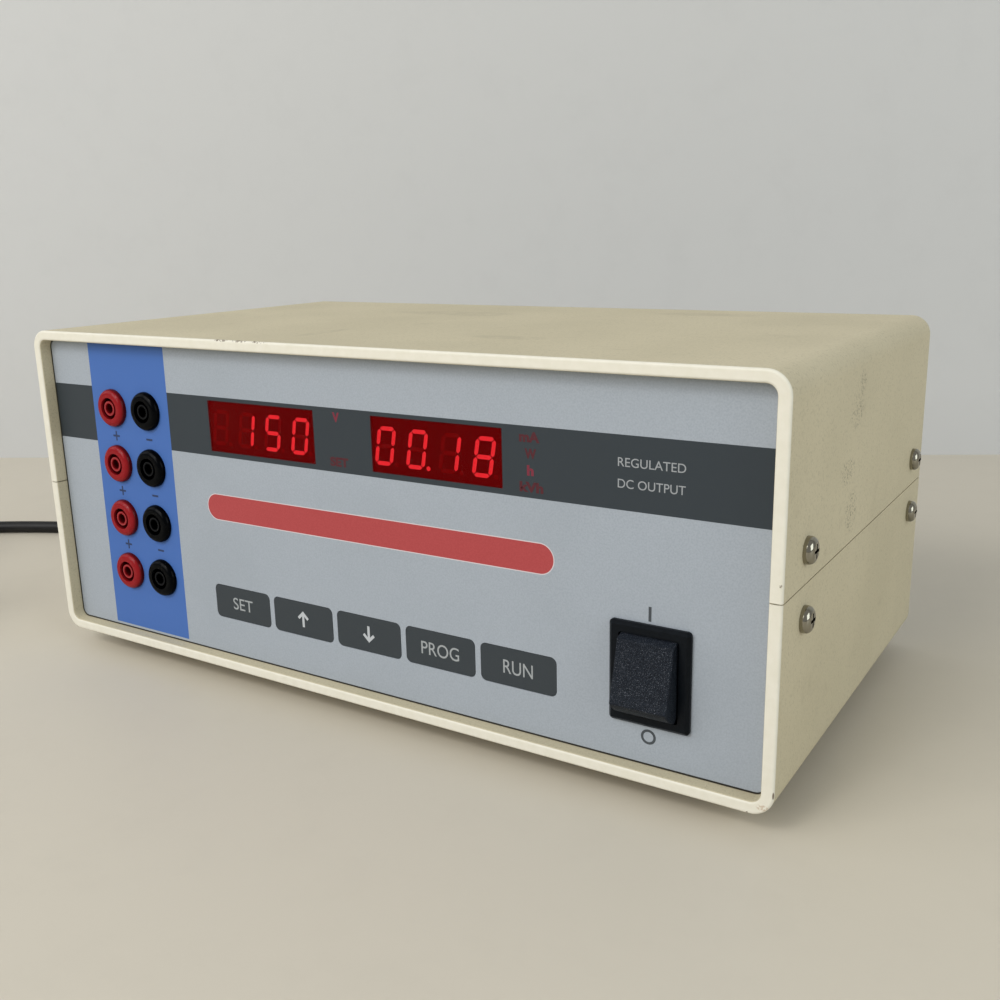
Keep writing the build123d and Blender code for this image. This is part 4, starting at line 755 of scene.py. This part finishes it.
# %% Rubber finishes
def rubber(name, colour, dust_colour, roughness=0.6):
    """Matt rubber with dust on it."""
    finish = Finish(name, colour, roughness, sheen=0.3)
    dust = finish.noise(140, 4.0, 0.7)
    grain = finish.noise(1800, 1.0)
    finish.put("Base Color", finish.mix(dust.above(0.58, 0.12) * 0.5, colour, dust_colour))
    finish.put("Roughness", roughness + dust * 0.2)
    finish.bump(grain, 0.03 * mm, 0.4)
    return finish


cord_black = rubber("cord_black", (0.006, 0.006, 0.007), (0.022, 0.021, 0.019), 0.42)
coat(cord_black, "strain_relief", "plug_body", "mains_cord", "cord_coil", "cord_tail")
coat(rubber("tie_black", (0.016, 0.016, 0.017), (0.06, 0.058, 0.054), 0.35), "cord_tie")
coat(rubber("foot_rubber", (0.02, 0.02, 0.02), (0.09, 0.085, 0.075)), "feet")

# %% [markdown]
# The mains cord is one length of flexible lead, two metres with its plug. It leaves the back,
# drops to the table, and runs off to the left. The length that isn't seen is wound into a coil
# there, in two layers: the radius shrinks by one pitch a turn to the point where the winding
# turns back, and then grows again one layer up. A tube of arcs could follow the same way, but it
# kinks where the arcs meet. A smooth spline through few points keeps the bends soft.

# %% Cord route
cord_diameter = 6.5 * mm
cord_route = (
    (-88.0, 99.0, 38.0),
    (-88.0, 133.0, 38.0),
    (-99.0, 161.0, 21.0),
    (-133.0, 168.0, 3.4),
    (-170.0, 137.0, 3.4),
    (-209.0, 92.0, 3.4),
    (-252.0, 52.0, 3.4),
    (-298.0, 26.5, 3.4),
    (-326.0, 13.5, 3.4),
    (-351.4, -2.4, 3.4),
    (-381.4, -25.8, 3.6),
    (-391.5, -46.3, 4.1),
    (-391.5, -69.5, 4.1),
)
tail_route = (
    (-336.0, -123.25, 11.1),
    (-319.5, -123.25, 11.1),
    (-301.5, -120.75, 18.5),
    (-285.5, -119.75, 18.5),
)
coil_centre = (-342.5, -76.0)
coil_low = 4.1
coil_pitch = 7.0
coil_inner_radius = 26.25
coil_start_angle = math.pi
coil_turns_in = 3.25
coil_turns_out = 3.0
points_per_turn = 16
print("route points", len(cord_route), "and", len(tail_route), "turns", coil_turns_in + coil_turns_out)


# %% Coil
def coil_points():
    """The coil's turns: a spiral in, half a turn of climb, and a spiral out on top of it.

    The points stand outside the line by the cosine of half a step, so that a spline of order
    three, which touches the middle of each of its runs, lies on the line.
    """
    steps = round((coil_turns_in + coil_turns_out) * points_per_turn)
    turns = np.arange(1, steps) / points_per_turn
    angle = coil_start_angle + 2 * np.pi * turns
    outside = 1 / math.cos(math.pi / points_per_turn)
    radius = (coil_inner_radius + coil_pitch * np.abs(turns - coil_turns_in)) * outside
    climb = np.clip((turns - coil_turns_in) * 2 + 0.5, 0, 1)
    height = coil_low + coil_pitch * climb**2 * (3 - 2 * climb)
    x = coil_centre[0] + radius * np.cos(angle)
    y = coil_centre[1] + radius * np.sin(angle)
    return np.stack([x, y, height], axis=1)


coil = coil_points()
print("coil points", len(coil), "widest", round(float(np.ptp(coil[:, 0])), 1), "mm")


# %% Cord
def soft_line(name, points, diameter, finish):
    """A curve object with a round section, along one smooth spline."""
    curve = bpy.data.curves.new(name, "CURVE")
    curve.dimensions = "3D"
    curve.bevel_depth = diameter / 2
    curve.bevel_resolution = 5
    curve.use_fill_caps = True
    curve.resolution_u = 8
    spline = curve.splines.new("NURBS")
    spline.points.add(len(points) - 1)
    weighted = np.column_stack([points, np.ones(len(points))])
    spline.points.foreach_set("co", weighted.ravel())
    spline.order_u = 3
    spline.use_endpoint_u = True
    curve.materials.append(finish.material)
    line = bpy.data.objects.new(name, curve)
    bpy.context.scene.collection.objects.link(line)
    return line


cord_points = np.concatenate([cord_route, coil, tail_route]) * mm
cord_line = soft_line("cord", cord_points, cord_diameter, cord_black)
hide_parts("mains_cord", "cord_coil", "cord_tail")
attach(cord_line, "case")
print("cord points", len(cord_points))

# %% [markdown]
# Legends are printed on the foil, the keys and the lamps. Letters come from the built-in font,
# turned into a mesh and fitted to the height and width that the mark has on the panel. They
# could be masks in the foil's colour like the stripe, but letters have too many edges for that.
# They stand a few hundredths of a millimetre proud, as screen print does.

# %% Print colours
print_depth = 0.03 * mm
arrow_grey = (0.50, 0.53, 0.56)
word_grey = (0.36, 0.385, 0.40)
mark_grey = (0.060, 0.070, 0.080)
scene_objects = bpy.context.scene.collection.objects
print("print stands proud by", round(print_depth / mm, 3), "mm")


# %% Inks and new pieces
def ink(name, colour, roughness=0.45):
    """Screen print: flat colour, slightly uneven."""
    finish = Finish(name, colour, roughness, sheen=0.3)
    cover = finish.noise(1800, 2.0)
    finish.put("Base Color", finish.mix(cover, [0.88 * c for c in colour], colour))
    finish.bump(cover, 0.01 * mm, 0.3)
    return finish


def new_piece(name, points, faces, finish, body="case"):
    """An object from points and faces, which moves with a body."""
    mesh = bpy.data.meshes.new(name)
    mesh.from_pydata(points.tolist(), [], faces)
    mesh.update()
    mesh.materials.append(finish.material)
    piece = bpy.data.objects.new(name, mesh)
    scene_objects.link(piece)
    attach(piece, body)
    return piece


# %% Letters
def letters(text, weight=0.0):
    """The corners and faces of a line of text, in its own plane, as thick as one unit.

    The weight is how far each stroke's edge is pushed out, as a part of the letters' size.
    """
    curve = bpy.data.curves.new("text", "FONT")
    curve.body = text
    curve.offset = weight
    curve.extrude = 0.5
    written = bpy.data.objects.new("text", curve)
    scene_objects.link(written)
    mesh = bpy.data.meshes.new_from_object(written.evaluated_get(bpy.context.evaluated_depsgraph_get()))
    corners = np.empty(len(mesh.vertices) * 3)
    mesh.vertices.foreach_get("co", corners)
    faces = [tuple(face.vertices) for face in mesh.polygons]
    bpy.data.objects.remove(written)
    return corners.reshape(-1, 3), faces


def lettering(name, text, centre, size, finish, body="case", weight=0.0):
    """Printed text: fitted to a width and height, centred at an X and a Z, on a plane of Y.

    The text's own X goes to X, its Y goes to Z, and its thickness goes out of the face.
    """
    corners, faces = letters(text, weight)
    low, high = corners.min(0), corners.max(0)
    unit = (corners - (low + high) / 2) / (high - low)
    x = centre[0] + unit[:, 0] * size[0]
    z = centre[1] + unit[:, 1] * size[1]
    y = face_y - (unit[:, 2] + 0.5) * print_depth
    return new_piece(name, np.stack([x, y, z], axis=1), faces, finish, body)


print("letters go on the plane y", round(face_y, 4))


# %% Flat prints
def outline_print(name, outline, centre, finish, body="case"):
    """A printed flat shape: its outline in millimetres, anticlockwise seen from the front."""
    flat = np.array(outline) * mm + np.array(centre)
    count = len(flat)
    back = np.stack([flat[:, 0], np.full(count, face_y), flat[:, 1]], axis=1)
    front = back - np.array([0, print_depth, 0])
    here = np.arange(count)
    after = np.roll(here, -1)
    sides = np.stack([here, after, count + after, count + here], axis=1)
    faces = [(here + count).tolist(), here[::-1].tolist()] + sides.tolist()
    return new_piece(name, np.concatenate([back, front]), faces, finish, body)


# %% [markdown]
# The keys' words and arrows are pale grey. The built-in font has arrows too, but with barbs of
# another shape. So an arrow is one outline of its own: a shaft, and two barbs with square ends.


# %% Key legends
arrow_outline = (
    (-0.5, -3.0), (0.5, -3.0), (0.5, 1.08), (1.88, -0.21), (2.6, 0.55), (0.0, 3.0), (-2.6, 0.55),
    (-1.88, -0.21), (-0.5, 1.08),
)
key_words = {"key_set": ("SET", 10.0), "key_prog": ("PROG", 15.2), "key_run": ("RUN", 10.9)}
word_height = 4.6
word_ink = ink("key_word_print", word_grey)
arrow_ink = ink("key_arrow_print", arrow_grey)


def middle_of(node):
    """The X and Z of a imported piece's middle."""
    low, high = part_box(node)
    return (low.x + high.x) / 2, (low.z + high.z) / 2


for node, (word, width) in key_words.items():
    size = (width * mm, word_height * mm)
    body = node.removeprefix("key_") + "_key"
    lettering("legend_" + node, word, middle_of(node), size, word_ink, body)
turned = [(-x, -z) for x, z in arrow_outline]
outline_print("legend_key_up", arrow_outline, middle_of("key_up"), arrow_ink, "up_key")
outline_print("legend_key_down", turned, middle_of("key_down"), arrow_ink, "down_key")
print("key legends:", len(key_words), "words and 2 arrows")

# %% [markdown]
# Beside the displays, unit names light up in red. Two are lit, and the rest are dim. On the real
# foil they are windows in the dark band with a lamp behind each. A window would need a hole and a
# lamp of its own here, and a letter that glows by itself looks the same from outside.


# %% Lamp legends
lamp_strength = 0.27
lit_ink = glow_finish("lamp_lit", (0.58, 0.10, 0.15), lamp_strength)
dim_ink = ink("lamp_dim", (0.080, 0.012, 0.019))
lamp_weight = 0.045
lamp_words = (
    ("V", -1.2, 107.2, 2.9, 3.3, lit_ink),
    ("SET", -0.7, 92.1, 7.9, 3.2, dim_ink),
    ("mA", 73.4, 107.0, 7.0, 3.2, dim_ink),
    ("W", 73.7, 102.0, 4.0, 3.1, dim_ink),
    ("h", 73.6, 96.9, 2.3, 3.2, lit_ink),
    ("kVh", 73.9, 91.8, 8.2, 3.2, dim_ink),
)
for word, x, z, width, height, finish in lamp_words:
    size = (width * mm, height * mm)
    lettering("lamp_" + word, word, (x * mm, z * mm), size, finish, weight=lamp_weight)
print("lamp legends:", [words[0] for words in lamp_words])

# %% [markdown]
# Plain marks on the foil: plus and minus between the sockets, a bar and a ring for on and off
# at the rocker, and two short generic lines at the right of the dark band. Signs from the font
# would come out thinner than the printed ones, so they are outlines with measured widths.


# %% Foil marks
mark_ink = ink("mark_print", mark_grey)
sign_ink = ink("sign_print", (0.022, 0.040, 0.105))
plus_outline = (
    (-0.38, -1.9), (0.38, -1.9), (0.38, -0.38), (1.9, -0.38), (1.9, 0.38), (0.38, 0.38), (0.38, 1.9),
    (-0.38, 1.9), (-0.38, 0.38), (-1.9, 0.38), (-1.9, -0.38), (-0.38, -0.38),
)
minus_outline = ((-1.7, -0.38), (1.7, -0.38), (1.7, 0.38), (-1.7, 0.38))
for gap in range(socket_rows - 1):
    height = socket_low + (gap + 0.5) * socket_pitch
    outline_print(f"plus_{gap + 1}", plus_outline, (red_x, height), sign_ink)
    outline_print(f"minus_{gap + 1}", minus_outline, (black_x, height), sign_ink)
on_bar = ((-0.45, -2.25), (0.45, -2.25), (0.45, 2.25), (-0.45, 2.25))
mark_x = switch_centre.x - 0.4 * mm
bar_z = switch_centre.z + 18.8 * mm
outline_print("mark_on", on_bar, (mark_x, bar_z), mark_ink)
print("signs between the sockets:", 2 * (socket_rows - 1))


# %% Ring and lines of type
def ring_print(name, centre, inner, outer, finish, steps=48):
    """A printed ring: a small rectangle carried round a circle."""
    turn = np.linspace(0, 2 * np.pi, steps, endpoint=False)
    section = ((inner, 0.0), (outer, 0.0), (outer, print_depth), (inner, print_depth))
    loops = []
    for radius, lift in section:
        x = centre[0] + radius * np.cos(turn)
        z = centre[1] + radius * np.sin(turn)
        loops.append(np.stack([x, np.full(steps, face_y - lift), z], axis=1))
    here = np.arange(steps)
    after = np.roll(here, -1)
    loop_start = np.arange(len(section))[:, None] * steps
    next_start = np.roll(loop_start, -1, axis=0)
    corners = [loop_start + here, loop_start + after, next_start + after, next_start + here]
    faces = np.stack(corners, axis=-1).reshape(-1, 4).tolist()
    return new_piece(name, np.concatenate(loops), faces, finish)


ring_z = switch_centre.z - 19.65 * mm
ring_radii = (1.6 * mm, 2.4 * mm)
ring_print("mark_off", (mark_x, ring_z), *ring_radii, mark_ink)
label_ink = ink("label_print", (0.33, 0.35, 0.37))
label_size = (20.5 * mm, 2.6 * mm)
label_x = 112.6 * mm
for name, words, label_z in (("upper", "REGULATED", 102.5 * mm), ("lower", "DC OUTPUT", 96.3 * mm)):
    lettering("label_" + name, words, (label_x, label_z), label_size, label_ink)
print("type lines of", [round(side / mm, 2) for side in label_size], "mm")

# %% [markdown]
# The table is pale and plain, and a plain wall stands behind it. Both are stage pieces, not part
# of the object. One curved sheet could be both, but the photograph shows the line where they
# meet. The wall is clear from its back, so that it doesn't hide the case from a camera that
# stands behind it.


# %% Table and wall
table_colour = (0.61, 0.565, 0.475)
wall_colour = (0.55, 0.555, 0.55)
wall_middle = Vector((-0.21, 0.307, 0.0))
wall_way = Vector((0.643, 0.333, 0.0)).normalized()
stage_reach = 4.0


def sheet_piece(name, corners, finish):
    """A flat four-cornered stage piece."""
    mesh = bpy.data.meshes.new(name)
    mesh.from_pydata(corners, [], [(0, 1, 2, 3)])
    mesh.materials.append(finish.material)
    piece = bpy.data.objects.new(name, mesh)
    scene_objects.link(piece)
    piece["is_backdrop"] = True
    return piece


table_corners = [(x * stage_reach, y * stage_reach, 0) for x, y in ((-1, -1), (1, -1), (1, 1), (-1, 1))]
left_end, right_end = [wall_middle + wall_way * side * stage_reach for side in (-1, 1)]
wall_feet = [(*left_end.xy, 0), (*right_end.xy, 0)]
wall_tops = [(*right_end.xy, stage_reach), (*left_end.xy, stage_reach)]
sheet_piece("table", table_corners, paint("table_top", table_colour, 0.5, 0.05))
wall_paint = paint("wall_paint", wall_colour, 0.8, 0.05)
from_behind = wall_paint.node("ShaderNodeNewGeometry", output="Backfacing")
wall_paint.put("Alpha", 1 - from_behind)
sheet_piece("wall", wall_feet + wall_tops, wall_paint)
print("stage reaches", stage_reach, "m")

# %% [markdown]
# The light is soft, as in a room with a white ceiling. One strong lamp would do for the form,
# but it leaves hard shadows that the photograph doesn't have. So a wide lamp stands above and
# before the case, weaker ones at its two sides, and an even sky fills the shadows. A small lamp
# high in front adds the soft shade that the rim throws on the top of the panel.


# %% Lamps
lamp_target = (0.0, 0.0, 0.06)


def lamp(name, place, size, watts, colour):
    """A square area lamp, its side in metres, that points at the middle of the case."""
    light = bpy.data.lights.new(name, "AREA")
    light.size = size
    light.energy = watts
    light.color = colour
    holder = bpy.data.objects.new(name, light)
    holder.location = place
    way = Vector(lamp_target) - Vector(place)
    holder.rotation_euler = way.to_track_quat("-Z", "Y").to_euler()
    holder.visible_camera = False
    scene_objects.link(holder)
    print(name, watts, "W")


lamp("front_lamp", (-0.6, -1.75, 1.2), 1.4, 27.0, (1.0, 0.985, 0.96))
lamp("left_lamp", (-1.6, -0.8, 1.1), 1.2, 6.0, (0.97, 0.985, 1.0))
lamp("right_lamp", (1.8, -0.3, 0.8), 1.2, 12.5, (0.90, 0.97, 1.0))
lamp("high_lamp", (-0.1, -1.1, 1.05), 0.25, 2.2, (1.0, 0.99, 0.97))

# %% Sky
sky_colour = (0.99, 0.99, 0.98, 1.0)
sky_strength = 0.38
world = bpy.data.worlds.new("even_sky")
bpy.context.scene.world = world
world.use_nodes = True
sky = world.node_tree.nodes["Background"]
sky.inputs["Color"].default_value = sky_colour
sky.inputs["Strength"].default_value = sky_strength
bpy.context.scene.view_settings.view_transform = "Standard"
print("sky strength", sky_strength)

# %% [markdown]
# The two boxes, before and after, are printed last.

# %% Boxes
boxes = {"cad": cad_box, "visual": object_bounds()}
boxes = {name: [[float(c) for c in corner] for corner in box] for name, box in boxes.items()}
print("boxes", boxes)
